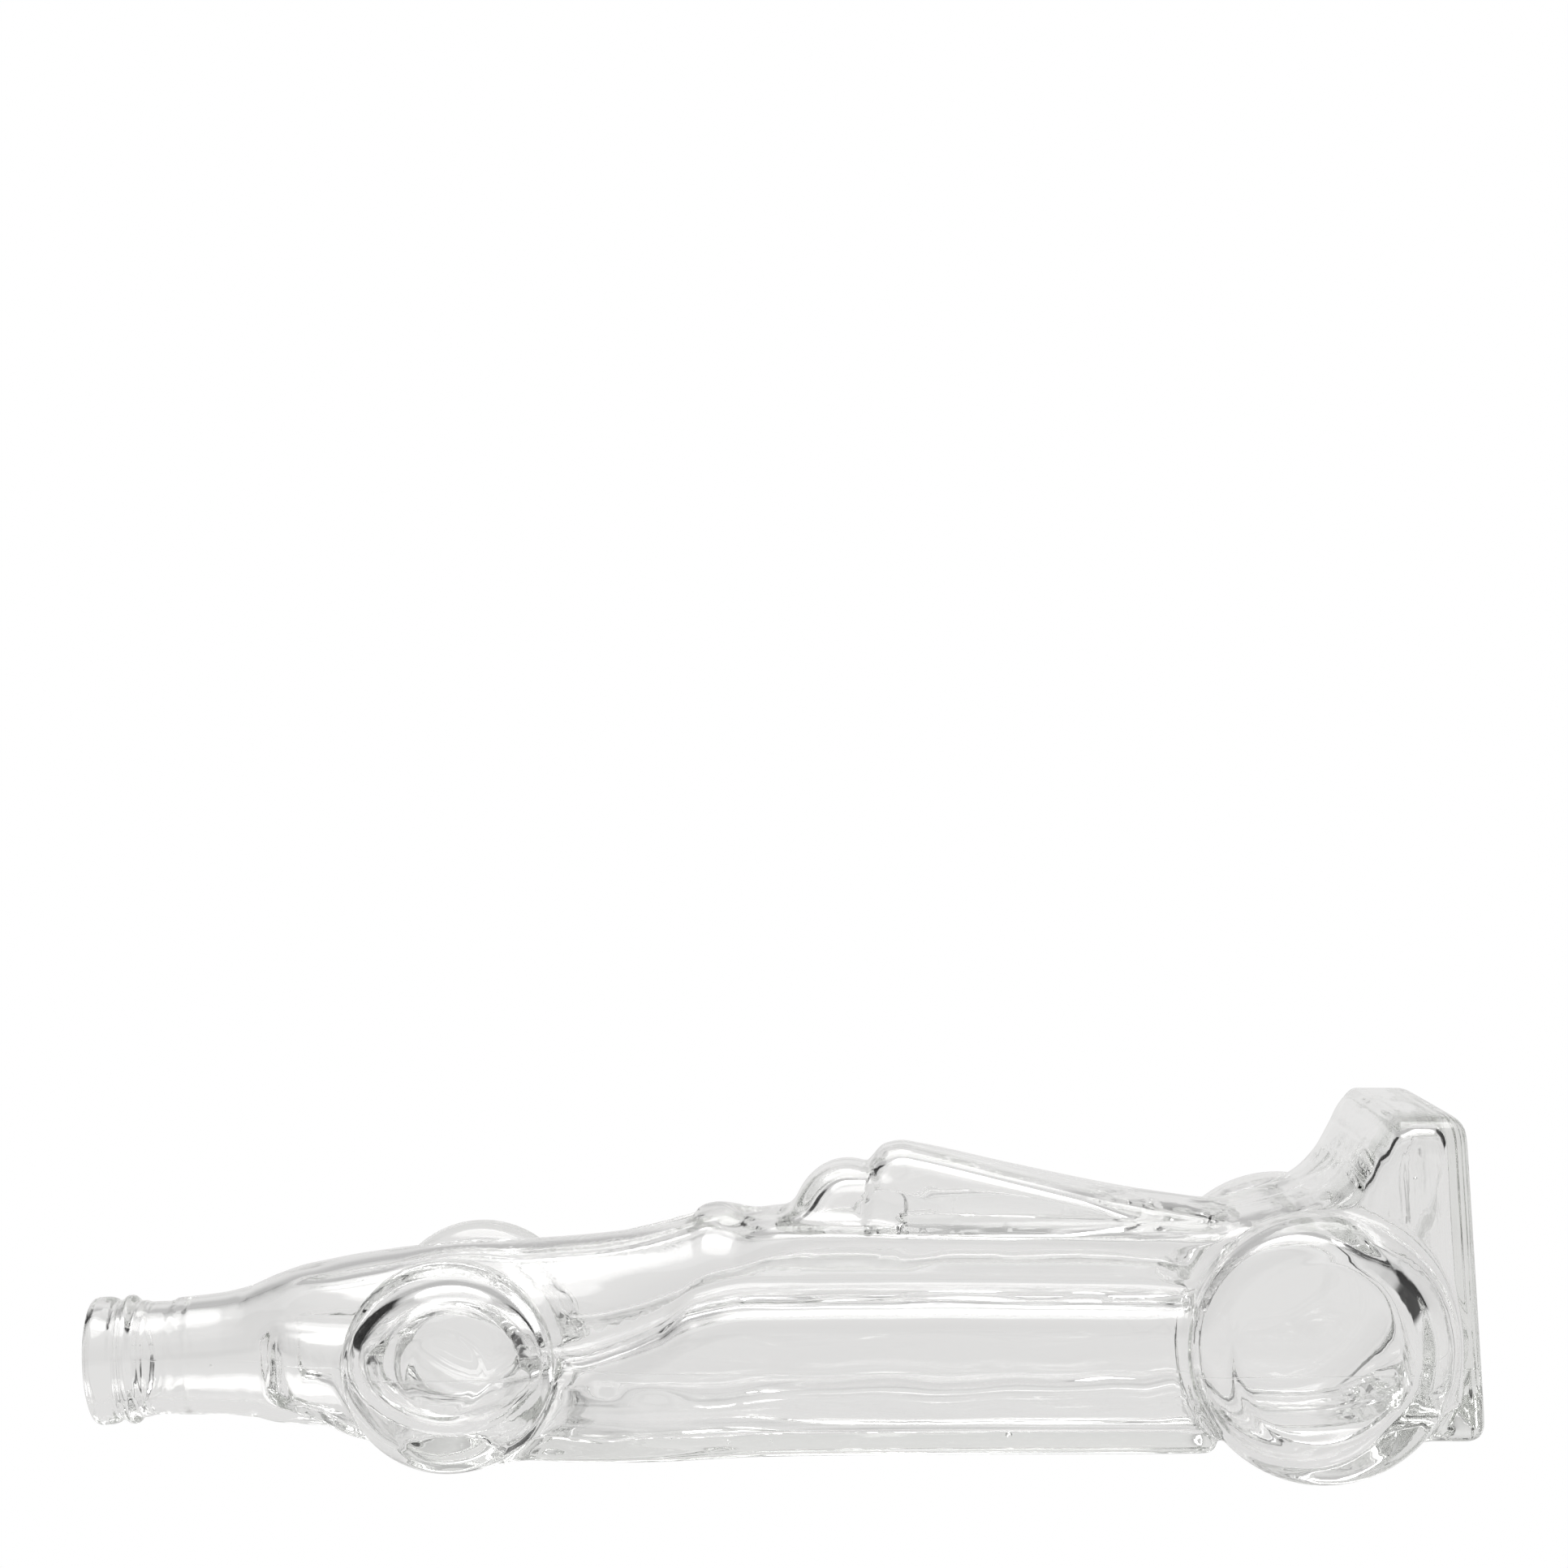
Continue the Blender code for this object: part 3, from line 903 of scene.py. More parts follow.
@dataclass(frozen=True)
class SeedBubbles:
    """The few seeds, tiny closed bubbles, that stay in the wall of blown glass."""

    per_square_metre: float = 260.0
    seed: int = 7
    depth: float = 0.0012
    smallest: float = 0.00012
    largest: float = 0.00026
    stretch: float = 1.5
    ball_levels: int = 2
    known: tuple[tuple[tuple[float, float, float], float], ...] = (
        ((0.0497, -0.0352, 0.0092), 0.00050),
        ((0.1319, -0.0368, 0.0618), 0.00030),
    )

    def tree(self, finish: bpy.types.Material) -> bpy.types.NodeTree:
        """The Geometry Nodes that scatter the bubbles under a skin.

        Args:
            finish: The glass.

        Returns:
            The tree; its inputs are the geometry, the density and the depth.
        """
        tree = bpy.data.node_groups.new("seed_bubbles", "GeometryNodeTree")
        tree.interface.new_socket("Skin", in_out="INPUT", socket_type="NodeSocketGeometry")
        tree.interface.new_socket("Density", in_out="INPUT", socket_type="NodeSocketFloat")
        tree.interface.new_socket("Depth", in_out="INPUT", socket_type="NodeSocketFloat")
        tree.interface.new_socket("Glass", in_out="OUTPUT", socket_type="NodeSocketGeometry")
        nodes = NodeTree(tree)
        skin, density, depth = nodes.add("NodeGroupInput")[:3]
        points, normal = nodes.add(
            "GeometryNodeDistributePointsOnFaces",
            {},
            {"Mesh": skin, "Density": density, "Seed": self.seed},
        )[:2]
        inward = nodes.add(
            "ShaderNodeVectorMath", {"operation": "SCALE"}, {0: normal, "Scale": depth * -1.0}
        )[0]
        sunk = nodes.add("GeometryNodeSetPosition", {}, {"Geometry": points, "Offset": inward})[0]
        shape = {"Radius": 1.0, "Subdivisions": self.ball_levels}
        ball = nodes.add("GeometryNodeMeshIcoSphere", {}, shape)[0]
        hollow = nodes.add("GeometryNodeFlipFaces", {}, {"Mesh": ball})[0]
        size = nodes.add(
            "FunctionNodeRandomValue",
            {"data_type": "FLOAT"},
            {2: self.smallest, 3: self.largest, "Seed": self.seed + 1},
        )[1]
        bubbles = nodes.add(
            "GeometryNodeInstanceOnPoints", {}, {"Points": sunk, "Instance": hollow, "Scale": size}
        )[0]
        large = []
        for place, radius in self.known:
            stretched = (radius * self.stretch, radius, radius)
            values = {"Geometry": hollow, "Translation": place, "Scale": stretched}
            large.append(nodes.add("GeometryNodeTransform", {}, values)[0])
        whole = nodes.add("GeometryNodeJoinGeometry", {}, {"Geometry": [skin, bubbles, *large]})[0]
        real = nodes.add("GeometryNodeRealizeInstances", {}, {"Geometry": whole})[0]
        glass = nodes.add("GeometryNodeSetMaterial", {}, {"Geometry": real, "Material": finish})[0]
        nodes.add("NodeGroupOutput", {}, {"Glass": glass})
        return tree

    def add_to(self, piece: bpy.types.Object, finish: bpy.types.Material) -> None:
        """Scatter the bubbles into a piece's wall and keep the result as its mesh.

        Args:
            piece: The piece whose skin they lie under.
            finish: The glass.
        """
        tree = self.tree(finish)
        scatter = piece.modifiers.new("seed_bubbles", "NODES")
        scatter.node_group = tree
        values = {"Density": self.per_square_metre, "Depth": self.depth}
        for item in tree.interface.items_tree:
            if item.in_out == "INPUT" and item.name in values:
                scatter[item.identifier] = values[item.name]
        held = piece.evaluated_get(bpy.context.evaluated_depsgraph_get())
        plain = piece.data
        mesh = bpy.data.meshes.new_from_object(held)
        piece.modifiers.remove(scatter)
        piece.data = mesh
        bpy.data.meshes.remove(plain)
        mesh.name = piece.name


def front_pair() -> Wheel:
    """The smaller wheels, with round treads and small hubs."""
    return Wheel(
        axle_x=FRONT_AXLE_X,
        radius=0.0219,
        inside=0.0236,
        outside=0.0408,
        tyre=(
            (0.00, 0.860),
            (0.10, 0.945),
            (0.26, 0.990),
            (0.42, 1.000),
            (0.62, 0.995),
            (0.80, 0.950),
            (0.92, 0.860),
            (0.98, 0.760),
            (1.00, 0.640),
        ),
        hub_radius=0.0082,
        hub_rise=0.0003,
        wall=0.0030,
        stub_radius=0.0180,
        slot=(0.0085, 0.0345),
        arcs=((0.0190, 0.0200), (0.0300, 0.0222)),
        hollow=(
            (0.05, 0.80),
            (0.20, 0.92),
            (0.40, 0.99),
            (0.62, 0.98),
            (0.80, 0.90),
            (0.93, 0.76),
            (1.00, 0.58),
        ),
    )


def rear_pair() -> Wheel:
    """The larger wheels, with flat treads and wide, sunk hubs."""
    return Wheel(
        axle_x=REAR_AXLE_X,
        radius=0.0272,
        inside=0.0255,
        outside=0.0456,
        tyre=(
            (0.00, 0.920),
            (0.07, 0.970),
            (0.18, 0.995),
            (0.32, 1.000),
            (0.74, 1.000),
            (0.87, 0.965),
            (0.95, 0.890),
            (0.99, 0.800),
            (1.00, 0.725),
        ),
        hub_radius=0.0188,
        hub_rise=-0.0005,
        wall=0.0034,
        stub_radius=0.0252,
        slot=(0.0078, 0.0475),
        room_ahead=0.0034,
        far_thinning=0.0012,
        hollow=(
            (0.05, 0.95),
            (0.25, 0.99),
            (0.62, 0.99),
            (0.84, 0.96),
            (0.95, 0.90),
            (1.00, 0.82),
        ),
    )


@dataclass(frozen=True)
class Blends:
    """The widths over which the forms flow into each other on one skin of the glass."""

    neck: float
    lower_body: float
    cover: float
    front_wheels: float
    rear_wheels: float
    helmet: float
    covered_helmet: float
    helmet_step: Pair

    def at_helmet(self, s: Array) -> Array:
        """The helmet's own width, which changes where the cover closes over it."""
        return self.helmet + (self.covered_helmet - self.helmet) * eased(s, *self.helmet_step)


@dataclass
class GlassBottle:
    """The whole moulding: its forms, the field of its glass, and its mesh."""

    neck: Neck = field(default_factory=Neck)
    spine: Spine = field(default_factory=Spine)
    lower_body: LowerBody = field(default_factory=LowerBody)
    cover: EngineCover = field(default_factory=EngineCover)
    helmet: Helmet = field(default_factory=Helmet)
    windscreen: Windscreen = field(default_factory=Windscreen)
    front_wheels: Wheel = field(default_factory=front_pair)
    rear_wheels: Wheel = field(default_factory=rear_pair)
    seeds: SeedBubbles = field(default_factory=SeedBubbles)
    outer_blends: Blends = Blends(
        neck=0.0030,
        lower_body=0.0024,
        cover=0.0013,
        front_wheels=0.0050,
        rear_wheels=0.0030,
        helmet=0.0034,
        covered_helmet=0.0004,
        helmet_step=(0.0240, 0.0290),
    )
    inner_blends: Blends = Blends(
        neck=0.0040,
        lower_body=0.0060,
        cover=0.0050,
        front_wheels=0.0070,
        rear_wheels=0.0100,
        helmet=0.0060,
        covered_helmet=0.0030,
        helmet_step=(0.0330, 0.0420),
    )
    cockpit_edge: float = 0.0025
    windscreen_blend: float = 0.0024
    well_overlap: float = 0.0060
    well_edge: float = 0.0030
    wave_height: float = 0.00007
    wave_step: Pair = (SHOULDER_X, -0.095)
    waves: Table = (
        (262.0, 90.0, 0.0, 1.1),
        (0.0, 120.0, 190.0, 0.4),
        (131.0, 0.0, -240.0, 2.3),
        (75.0, 230.0, 0.0, 0.9),
    )
    wave_shares: Pair = (0.7, 0.6)
    least_wall: float = 0.0017
    least_wall_edge: float = 0.0020
    mouth_step: Pair = (MOUTH_X + 0.0040, MOUTH_X + 0.0120)
    mouth_edge: float = 0.0012
    pitch: float = 0.00115
    fine_pitch: float = 0.00045
    along: Pair = (MOUTH_X - 0.0025, TAIL_X + 0.0030)
    beside: float = 0.0478
    upward: Pair = (-0.0018, 0.0780)
    fine_along: tuple[Pair, ...] = ((MOUTH_X - 0.0025, MOUTH_X + 0.0145), (0.1395, 0.1500))
    fine_beside: tuple[Pair, ...] = ((0.0070, 0.0112), (0.0355, 0.0390))
    fine_upward: tuple[Pair, ...] = ((0.0020, 0.0085), (0.0335, 0.0380), (0.0700, 0.0760))
    probe: float = 0.00012
    least_slope: float = 0.05
    settling: tuple[float, ...] = (0.0008, 0.0008, 0.0008)
    last_settling: float = 0.0003
    evening: float = 0.5
    triangles: int = 196000
    skin_reach: float = 0.0004

    def outside(self, s: Array, y: Array, z: Array) -> Array:
        """Distances to the bottle's outer form.

        Args:
            s: Places along the leaning axis.
            y: Places across.
            z: Heights.

        Returns:
            Signed distances.
        """
        skin, blends = Skin.OUTSIDE, self.outer_blends
        body = self.spine.distance(s, y, z, skin)
        body = smooth_union(body, self.neck.distance(s, y, z, skin), blends.neck)
        body = smooth_union(body, self.lower_body.distance(s, y, z, skin), blends.lower_body)
        body = smooth_union(body, self.cover.distance(s, y, z, skin), blends.cover)
        body = smooth_cut(body, self.helmet.cockpit(s, y, z), self.cockpit_edge)
        body = smooth_union(body, self.helmet.distance(s, y, z, skin), blends.at_helmet(s))
        body = smooth_union(body, self.windscreen.distance(s, y, z), self.windscreen_blend)
        body = smooth_union(body, self.front_wheels.distance(s, y, z, skin), blends.front_wheels)
        well = self.spine.between(s, y, z, self.rear_wheels.inside - self.well_overlap)
        rear = smooth_meet(self.rear_wheels.distance(s, y, z, skin), well, self.well_edge)
        return smooth_union(body, rear, blends.rear_wheels)

    def cavity(self, s: Array, y: Array, z: Array) -> Array:
        """Distances to the cavity, with the slow waves of a blown inner wall.

        Args:
            s: Places along the leaning axis.
            y: Places across.
            z: Heights.

        Returns:
            Signed distances.
        """
        skin, blends = Skin.CAVITY, self.inner_blends
        room = self.spine.distance(s, y, z, skin)
        room = smooth_union(room, self.lower_body.distance(s, y, z, skin), blends.lower_body)
        room = smooth_union(room, self.cover.distance(s, y, z, skin), blends.cover)
        room = smooth_union(room, self.helmet.distance(s, y, z, skin), blends.at_helmet(s))
        room = smooth_union(room, self.front_wheels.distance(s, y, z, skin), blends.front_wheels)
        room = smooth_union(room, self.rear_wheels.distance(s, y, z, skin), blends.rear_wheels)
        room = room + self.lower_body.sags(s, y, z)
        first, second, third, fourth = (
            np.sin(s * along + y * across + z * upward + phase)
            for along, across, upward, phase in self.waves
        )
        third_share, fourth_share = self.wave_shares
        wave = first * second + third_share * third + fourth_share * fourth
        room = room + self.wave_height * wave * eased(s, *self.wave_step)
        return smooth_union(room, self.neck.distance(s, y, z, skin), blends.neck)

    def glass(self, s: Array, y: Array, z: Array) -> Array:
        """Distances to the glass: the outer form less the cavity, with a least wall all over.

        Args:
            s: Places along the leaning axis.
            y: Places across.
            z: Heights.

        Returns:
            Signed distances.
        """
        outside = self.outside(s, y, z)
        kept = outside + self.least_wall - FAR_OUT * (1.0 - eased(s, *self.mouth_step))
        room = smooth_meet(self.cavity(s, y, z), kept, self.least_wall_edge)
        return smooth_cut(outside, room, self.mouth_edge)

    def slope(self, points: Array) -> tuple[Array, Array]:
        """The field and its slope at free points.

        Args:
            points: Rows of s, y and z.

        Returns:
            The field's values and the rows of its slope.
        """
        value = self.glass(*points.T)
        rows = []
        for axis in range(3):
            shift = np.zeros(3)
            shift[axis] = self.probe
            rows.append(self.glass(*(points + shift).T) - self.glass(*(points - shift).T))
        return value, np.stack(rows, axis=1) / (2 * self.probe)

    def onto_skin(self, points: Array, limit: float) -> tuple[Array, Array]:
        """Move free points onto the skin.

        Args:
            points: Rows of s, y and z near the skin.
            limit: How far they may move.

        Returns:
            The moved points, and the directions out of the glass.
        """
        value, slope = self.slope(points)
        size = np.maximum((slope**2).sum(1), self.least_slope)
        moved = points - np.clip(value / size, -limit, limit)[:, None] * slope
        return moved, slope / np.sqrt(size)[:, None]

    def grid(self) -> SurfaceNet:
        """The grid, finer at the neck's finish, the standing base and some edges."""
        side = self.lines(0.5 * self.pitch, self.beside, self.fine_beside)
        return SurfaceNet(
            s=self.lines(*self.along, self.fine_along),
            y=np.concatenate([-side[::-1], side]),
            z=self.lines(*self.upward, self.fine_upward),
        )

    def lines(self, start: float, end: float, fine: tuple[Pair, ...]) -> Array:
        """Grid lines, closer together in some stretches.

        Args:
            start: The first line's place.
            end: The place that the last line reaches.
            fine: The stretches.

        Returns:
            The lines' places.
        """
        places = [start]
        while places[-1] < end:
            close = any(low <= places[-1] < high for low, high in fine)
            places.append(places[-1] + (self.fine_pitch if close else self.pitch))
        return np.array(places)

    def settle(self, points: Array, faces: Array) -> Array:
        """Put the points exactly on the skin, and even them out along it in between.

        Args:
            points: Rows of s, y and z near the skin.
            faces: The skin's four-sided faces.

        Returns:
            The settled points.
        """
        links = np.vstack([faces[:, [0, 1]], faces[:, [1, 2]], faces[:, [2, 3]], faces[:, [3, 0]]])
        links = np.unique(np.sort(links, axis=1), axis=0)
        degree = np.bincount(links.ravel(), minlength=len(points))[:, None]
        for turn, limit in enumerate(self.settling, 1):
            points, normal = self.onto_skin(points, limit)
            if turn == len(self.settling):
                break
            total = np.zeros_like(points)
            for axis in range(3):
                for here, there in ((0, 1), (1, 0)):
                    places = points[links[:, there], axis]
                    total[:, axis] += np.bincount(links[:, here], places, len(points))
            pull = total / degree - points
            pull -= (pull * normal).sum(1)[:, None] * normal
            points = points + self.evening * pull
        return points

    def thinned(self, name: str, points: Array, faces: Array) -> bpy.types.Mesh:
        """Thin the skin out where it is flat.

        Args:
            name: The mesh's name.
            points: The skin's settled points.
            faces: Its four-sided faces.

        Returns:
            A mesh of triangles, at most as many as asked for.
        """
        full = bpy.data.meshes.new("full_skin")
        full.from_pydata(points.tolist(), [], faces.tolist())
        holder = bpy.data.objects.new("full_skin", full)
        bpy.context.collection.objects.link(holder)
        thinner = holder.modifiers.new("thinner", "DECIMATE")
        thinner.ratio = min(1.0, self.triangles / (2.0 * len(faces)))
        thinner.use_collapse_triangulate = True
        held = holder.evaluated_get(bpy.context.evaluated_depsgraph_get())
        mesh = bpy.data.meshes.new_from_object(held)
        mesh.name = name
        bpy.data.objects.remove(holder)
        bpy.data.meshes.remove(full)
        return mesh

    def build(self, name: str, finish: bpy.types.Material) -> bpy.types.Object:
        """Make the bottle's mesh.

        Args:
            name: The piece's name.
            finish: The glass.

        Returns:
            The finished object, in the row frame.
        """
        net = self.grid()
        s, y, z = np.meshgrid(net.s, net.y, net.z, indexing="ij")
        points, faces = net.draw(self.glass(s, y, z))
        points = self.settle(points, faces)
        mesh = self.thinned(name, points, faces)
        points = np.empty(len(mesh.vertices) * 3)
        mesh.vertices.foreach_get("co", points)
        points, _ = self.onto_skin(points.reshape(-1, 3), self.last_settling)
        _, slope = self.slope(points)
        normals = slope.copy()
        normals[:, 2] += slope[:, 0] * LEAN
        normals /= np.linalg.norm(normals, axis=1)[:, None]
        places = points.copy()
        places[:, 0] = points[:, 0] - (points[:, 2] - MOUTH_HEIGHT) * LEAN
        mesh.vertices.foreach_set("co", places.ravel())
        mesh.shade_smooth()
        mesh.normals_split_custom_set_from_vertices(normals.tolist())
        mesh.materials.append(finish)
        outer = np.abs(self.outside(*points.T)) < self.skin_reach
        mesh.attributes.new(OUTER_SKIN, "FLOAT", "POINT").data.foreach_set("value", outer.astype(float))
        piece = bpy.data.objects.new(name, mesh)
        bpy.context.collection.objects.link(piece)
        self.seeds.add_to(piece, finish)
        LOG.info("%s: %d points, %d triangles", name, len(piece.data.vertices), len(piece.data.polygons))
        return piece


class Socket:
    """A node's value that takes part in ordinary sums."""

    def __init__(self, tree: "NodeTree", source: Any) -> None:
        """Hold the tree and the output socket or number."""
        self.tree = tree
        self.source = source

    def _math(self, operation: str, first: Any, second: Any = None) -> "Socket":
        """One Math node on two values."""
        values = {0: first} if second is None else {0: first, 1: second}
        return self.tree.add("ShaderNodeMath", {"operation": operation}, values)[0]

    def __add__(self, other: Any) -> "Socket":
        """Sum."""
        return self._math("ADD", self, other)

    __radd__ = __add__

    def __sub__(self, other: Any) -> "Socket":
        """Difference."""
        return self._math("SUBTRACT", self, other)

    def __rsub__(self, other: Any) -> "Socket":
        """Difference, from a plain number."""
        return self._math("SUBTRACT", other, self)

    def __mul__(self, other: Any) -> "Socket":
        """Product."""
        return self._math("MULTIPLY", self, other)

    __rmul__ = __mul__

    def magnitude(self) -> "Socket":
        """Value without its sign."""
        return self._math("ABSOLUTE", self)

    def below(self, limit: float, edge: float) -> "Socket":
        """1 where the value is under a limit, fading to 0 above it.

        Args:
            limit: Where the fade starts.
            edge: How far it reaches.

        Returns:
            The share.
        """
        settings = {"interpolation_type": "SMOOTHSTEP"}
        values = {"Value": self, "From Min": limit, "From Max": limit + edge, "To Min": 1.0, "To Max": 0.0}
        return self.tree.add("ShaderNodeMapRange", settings, values)[0]


class NodeTree:
    """Adds nodes to the tree of a material, the world or a modifier."""

    def __init__(self, tree: bpy.types.NodeTree) -> None:
        """Hold the tree and empty it."""
        self.tree = tree
        tree.nodes.clear()

    def add(
        self, kind: str, settings: dict[str, Any] | None = None, values: dict[Any, Any] | None = None
    ) -> list[Socket]:
        """Add one node.

        Args:
            kind: The node's type.
            settings: Its own settings, set first; "stops" are a ramp's.
            values: Values or links of its inputs, by name or number; a list gives one input many links.

        Returns:
            Its outputs.
        """
        node = self.tree.nodes.new(kind)
        for key, value in (settings or {}).items():
            if key == "stops":
                ramp = node.color_ramp
                while len(ramp.elements) < len(value):
                    ramp.elements.new(0.5)
                for element, (place, colour) in zip(ramp.elements, value):
                    element.position = place
                    element.color = colour
            else:
                setattr(node, key, value)
        for key, value in (values or {}).items():
            if isinstance(value, Socket):
                self.tree.links.new(value.source, node.inputs[key])
            elif isinstance(value, list):
                for each in reversed(value):
                    self.tree.links.new(each.source, node.inputs[key])
            else:
                node.inputs[key].default_value = value
        return [Socket(self, output) for output in node.outputs]


@dataclass(frozen=True)
class ClearGlass:
    """Clear flint container glass: wavy, fire-polished, with a faint mould seam and stipple."""

    index: float = 1.5
    depth_colour: tuple[float, float, float, float] = (0.875, 0.885, 0.868, 1.0)
    depth_density: float = 10.0
    noise_detail: float = 1.5
    noise_roughness: float = 0.4
    wave_scale: float = 95.0
    wave_relief: float = 0.05
    stipple_scale: float = 900.0
    stipple_relief: float = 0.06
    stipple_start: Pair = (-0.0800, 0.0120)
    stipple_end: Pair = (-0.0200, 0.0040)
    stipple_side: Pair = (0.0150, 0.0030)
    stipple_foot: Pair = (0.0340, 0.0040)
    haze_scale: float = 40.0
    haze_roughness: float = 0.008
    seam_height: float = 0.0212
    seam_rise: float = 0.0137
    seam_width: Pair = (0.00006, 0.00016)
    seam_relief: float = 0.03
    relief_unit: float = 0.001

    def build(self, name: str) -> bpy.types.Material:
        """Make the material.

        Args:
            name: Its name.

        Returns:
            The material.
        """
        material = bpy.data.materials.new(name)
        material.use_nodes = True
        nodes = NodeTree(material.node_tree)
        place = nodes.add("ShaderNodeTexCoord")[3]
        along, across, height = nodes.add("ShaderNodeSeparateXYZ", {}, {"Vector": place})
        outer = nodes.add("ShaderNodeAttribute", {"attribute_name": OUTER_SKIN})[2]
        wave, fine, haze = (
            nodes.add(
                "ShaderNodeTexNoise",
                {"noise_dimensions": "3D"},
                {
                    "Vector": place,
                    "Scale": scale,
                    "Detail": self.noise_detail,
                    "Roughness": self.noise_roughness,
                },
            )[0]
            for scale in (self.wave_scale, self.stipple_scale, self.haze_scale)
        )
        seam_line = along * self.seam_rise + self.seam_height
        seam = (height - seam_line).magnitude().below(*self.seam_width)
        stippled = (1.0 - along.below(*self.stipple_start)) * along.below(*self.stipple_end)
        stippled = stippled * across.magnitude().below(*self.stipple_side)
        stippled = stippled * (1.0 - height.below(*self.stipple_foot))
        shallow = (seam * self.seam_relief + fine * stippled * self.stipple_relief) * outer
        relief = wave * self.wave_relief + shallow
        bump = nodes.add(
            "ShaderNodeBump", {}, {"Strength": 1.0, "Distance": self.relief_unit, "Height": relief}
        )[0]
        shader = nodes.add(
            "ShaderNodeBsdfPrincipled",
            {},
            {
                "Base Color": WHITE,
                "Roughness": haze * self.haze_roughness,
                "IOR": self.index,
                "Transmission Weight": 1.0,
                "Normal": bump,
            },
        )[0]
        depth = nodes.add(
            "ShaderNodeVolumeAbsorption",
            {},
            {"Color": self.depth_colour, "Density": self.depth_density},
        )[0]
        nodes.add("ShaderNodeOutputMaterial", {}, {"Surface": shader, "Volume": depth})
        return material


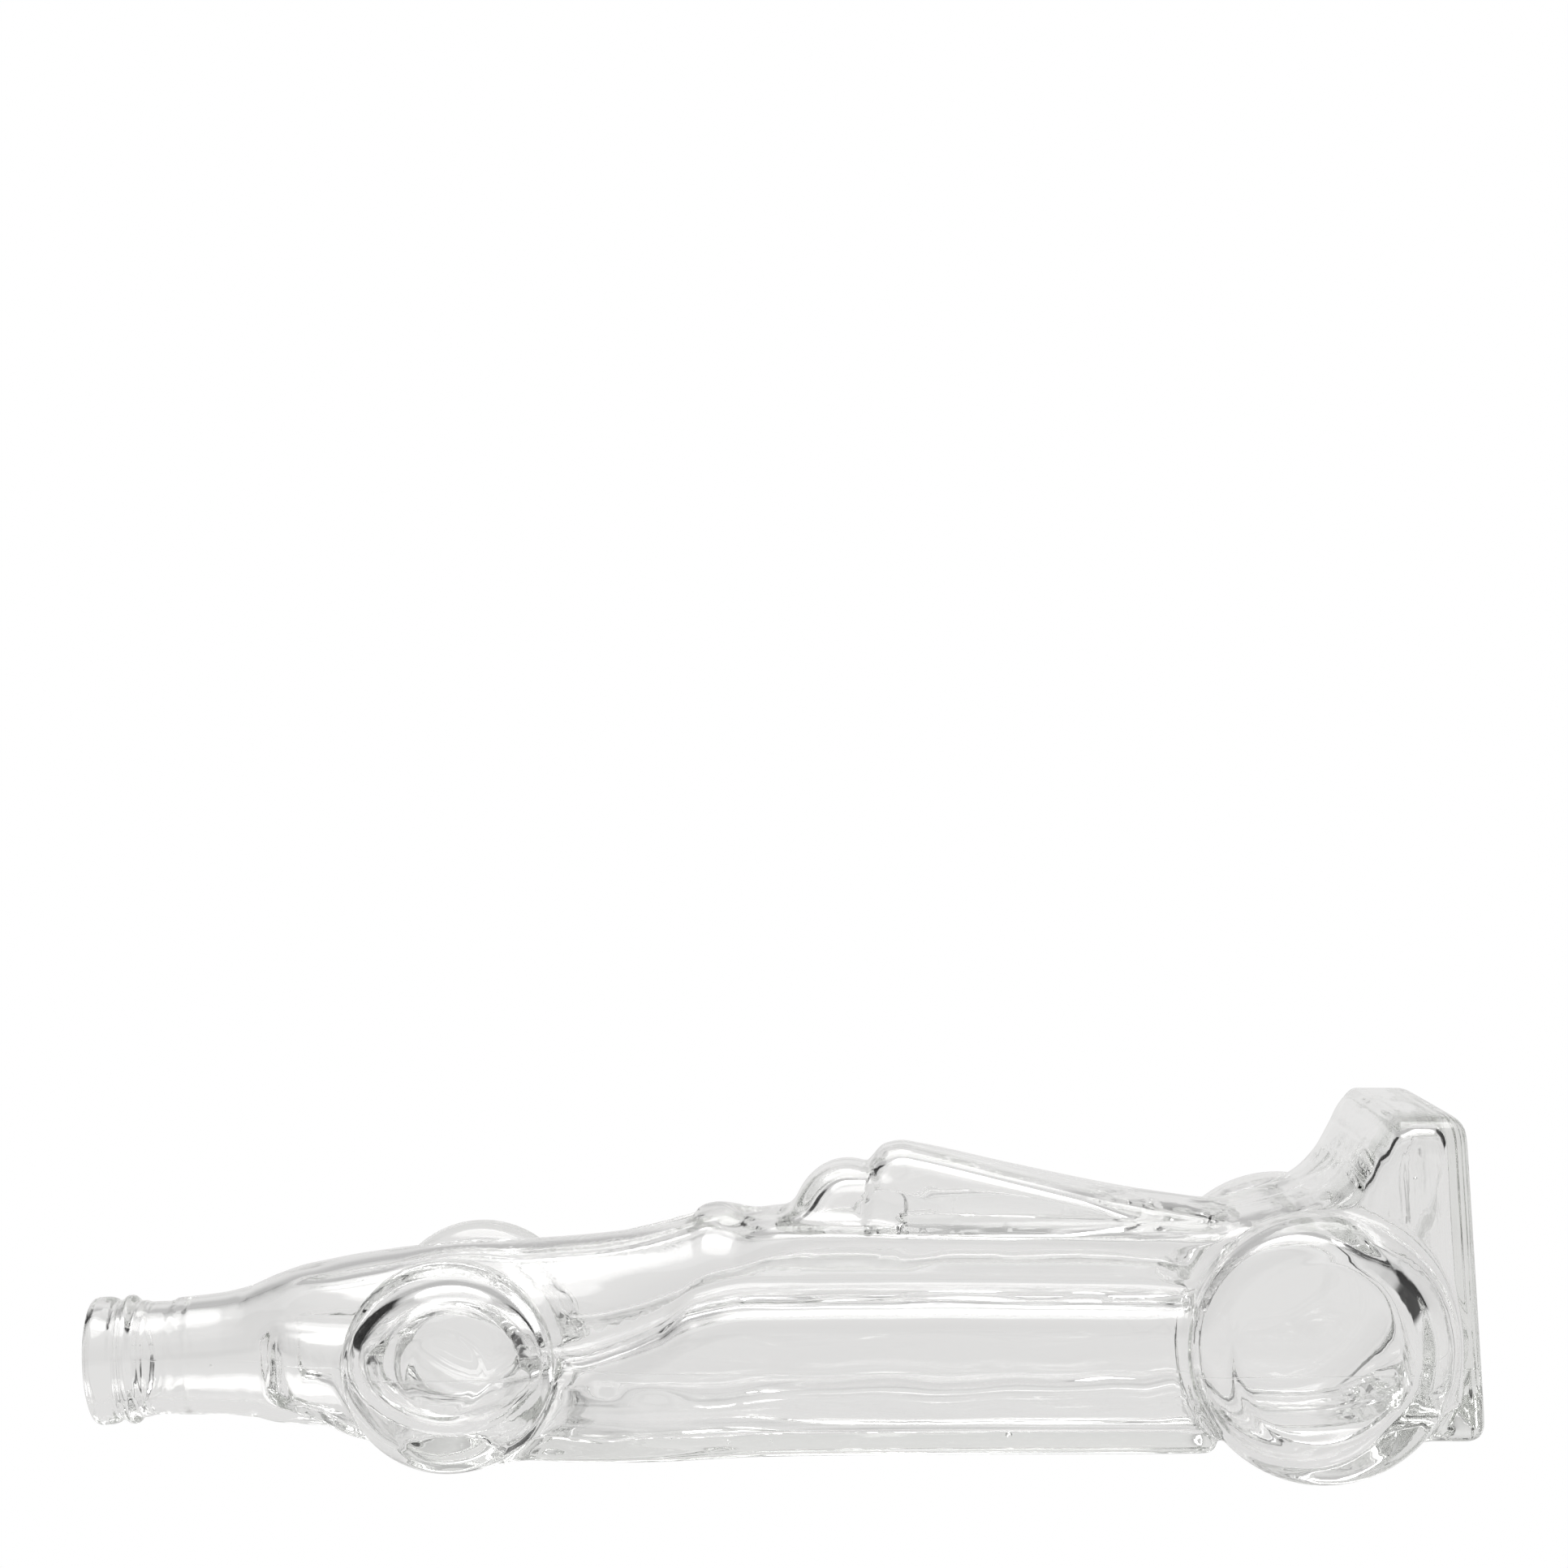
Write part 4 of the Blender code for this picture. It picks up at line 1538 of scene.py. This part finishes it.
@dataclass(frozen=True)
class Studio:
    """The pale floor, the white surround with its soft lights and dark flags, and the camera."""

    floor_size: float = 12.0
    camera_place: tuple[float, float, float] = (0.0220, -0.7268, 0.1417)
    camera_turn: tuple[float, float, float] = (90.0, 0.0, 1.5)
    lens: float = 77.8
    sensor: float = 36.0
    nearest: float = 0.01
    bounces: int = 64
    sweep_grey: float = 0.76
    sweep_tint: tuple[float, float, float, float] = (1.0, 0.994, 0.985, 1.0)
    room_tint: tuple[float, float, float] = (1.0, 0.995, 0.988)
    brightest: float = 5.0
    sweep_levels: tuple[tuple[float, float], ...] = (
        (0.00, 0.160),
        (0.10, 0.165),
        (0.26, 0.150),
        (0.45, 0.100),
        (0.78, 0.100),
        (0.88, 0.180),
        (0.92, 1.000),
        (1.00, 1.000),
    )
    room_levels: tuple[tuple[float, float], ...] = (
        (0.00, 0.090),
        (0.12, 0.040),
        (0.45, 0.050),
        (0.66, 0.120),
        (0.80, 0.160),
        (0.88, 0.200),
        (0.92, 1.000),
        (1.00, 1.000),
    )
    room_edge: tuple[float, float] = (-0.35, 0.50)
    card_edge: tuple[float, float] = (0.46, 0.12)
    card_foot: tuple[float, float] = (0.04, 0.08)
    card_top: tuple[float, float] = (0.72, 0.08)
    card_depth: float = 0.97

    def floor(self) -> None:
        """A plain pale floor that gives off the even white of a lit sweep."""
        half = self.floor_size / 2
        mesh = bpy.data.meshes.new("floor")
        corners = [(-half, -half, 0), (half, -half, 0), (half, half, 0), (-half, half, 0)]
        mesh.from_pydata(corners, [], [(0, 1, 2, 3)])
        material = bpy.data.materials.new("pale_floor")
        material.use_nodes = True
        nodes = NodeTree(material.node_tree)
        glow = {"Color": self.sweep_tint, "Strength": self.sweep_grey}
        lit = nodes.add("ShaderNodeEmission", {}, glow)[0]
        seen = nodes.add("ShaderNodeEmission", {}, {"Color": WHITE, "Strength": 1.0})[0]
        sight = nodes.add("ShaderNodeLightPath")[0]
        both = nodes.add("ShaderNodeMixShader", {}, {0: sight, 1: lit, 2: seen})[0]
        nodes.add("ShaderNodeOutputMaterial", {}, {"Surface": both})
        mesh.materials.append(material)
        floor = bpy.data.objects.new("floor", mesh)
        bpy.context.collection.objects.link(floor)

    def surround(self) -> None:
        """A white surround, darker above the horizon and at a card on each side, bright overhead."""
        world = bpy.data.worlds.new("surround")
        bpy.context.scene.world = world
        world.use_nodes = True
        nodes = NodeTree(world.node_tree)
        direction = nodes.add("ShaderNodeTexCoord")[0]
        east, north, height = nodes.add("ShaderNodeSeparateXYZ", {}, {"Vector": direction})
        red, green, blue = self.room_tint
        ahead, behind = (
            nodes.add(
                "ShaderNodeValToRGB",
                {"stops": [(at, (level * red, level * green, level * blue, 1.0)) for at, level in levels]},
                {"Fac": height},
            )[0]
            for levels in (self.sweep_levels, self.room_levels)
        )
        turned = north.below(*self.room_edge)
        colour = {"data_type": "RGBA"}
        both_ways = nodes.add("ShaderNodeMix", colour, {"Factor": turned, 6: ahead, 7: behind})[2]
        aside = 1.0 - east.magnitude().below(*self.card_edge)
        raised = (1.0 - height.below(*self.card_foot)) * height.below(*self.card_top)
        shade = 1.0 - aside * raised * self.card_depth
        level = nodes.add("ShaderNodeMix", colour, {"Factor": shade, 6: (0, 0, 0, 1), 7: both_ways})[2]
        around = nodes.add("ShaderNodeBackground", {}, {"Color": level, "Strength": self.brightest})[0]
        seen = nodes.add("ShaderNodeBackground", {}, {"Color": WHITE, "Strength": 1.0})[0]
        sight = nodes.add("ShaderNodeLightPath")[0]
        both = nodes.add("ShaderNodeMixShader", {}, {0: sight, 1: around, 2: seen})[0]
        nodes.add("ShaderNodeOutputWorld", {}, {"Surface": both})

    def camera(self) -> None:
        """The camera at the photograph's angle."""
        data = bpy.data.cameras.new("camera")
        data.sensor_width = self.sensor
        data.lens = self.lens
        data.dof.use_dof = False
        data.clip_start = self.nearest
        camera = bpy.data.objects.new("camera", data)
        camera.location = self.camera_place
        camera.rotation_euler = [math.radians(a) for a in self.camera_turn]
        bpy.context.collection.objects.link(camera)
        bpy.context.scene.camera = camera

    def build(self) -> None:
        """Make the whole studio."""
        self.floor()
        self.surround()
        self.camera()
        scene = bpy.context.scene
        scene.view_settings.view_transform = "Standard"
        scene.cycles.max_bounces = self.bounces
        scene.cycles.transmission_bounces = self.bounces
        scene.cycles.glossy_bounces = self.bounces


def main() -> None:
    """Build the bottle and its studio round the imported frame."""
    logging.basicConfig(level=logging.INFO, format="%(name)s: %(message)s")
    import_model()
    glass = ClearGlass().build("clear_glass")
    bottle = GlassBottle().build("bottle_glass", glass)
    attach(bottle, "root")
    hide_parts("glass_bottle")
    Studio().build()


if __name__ == "__main__":
    main()
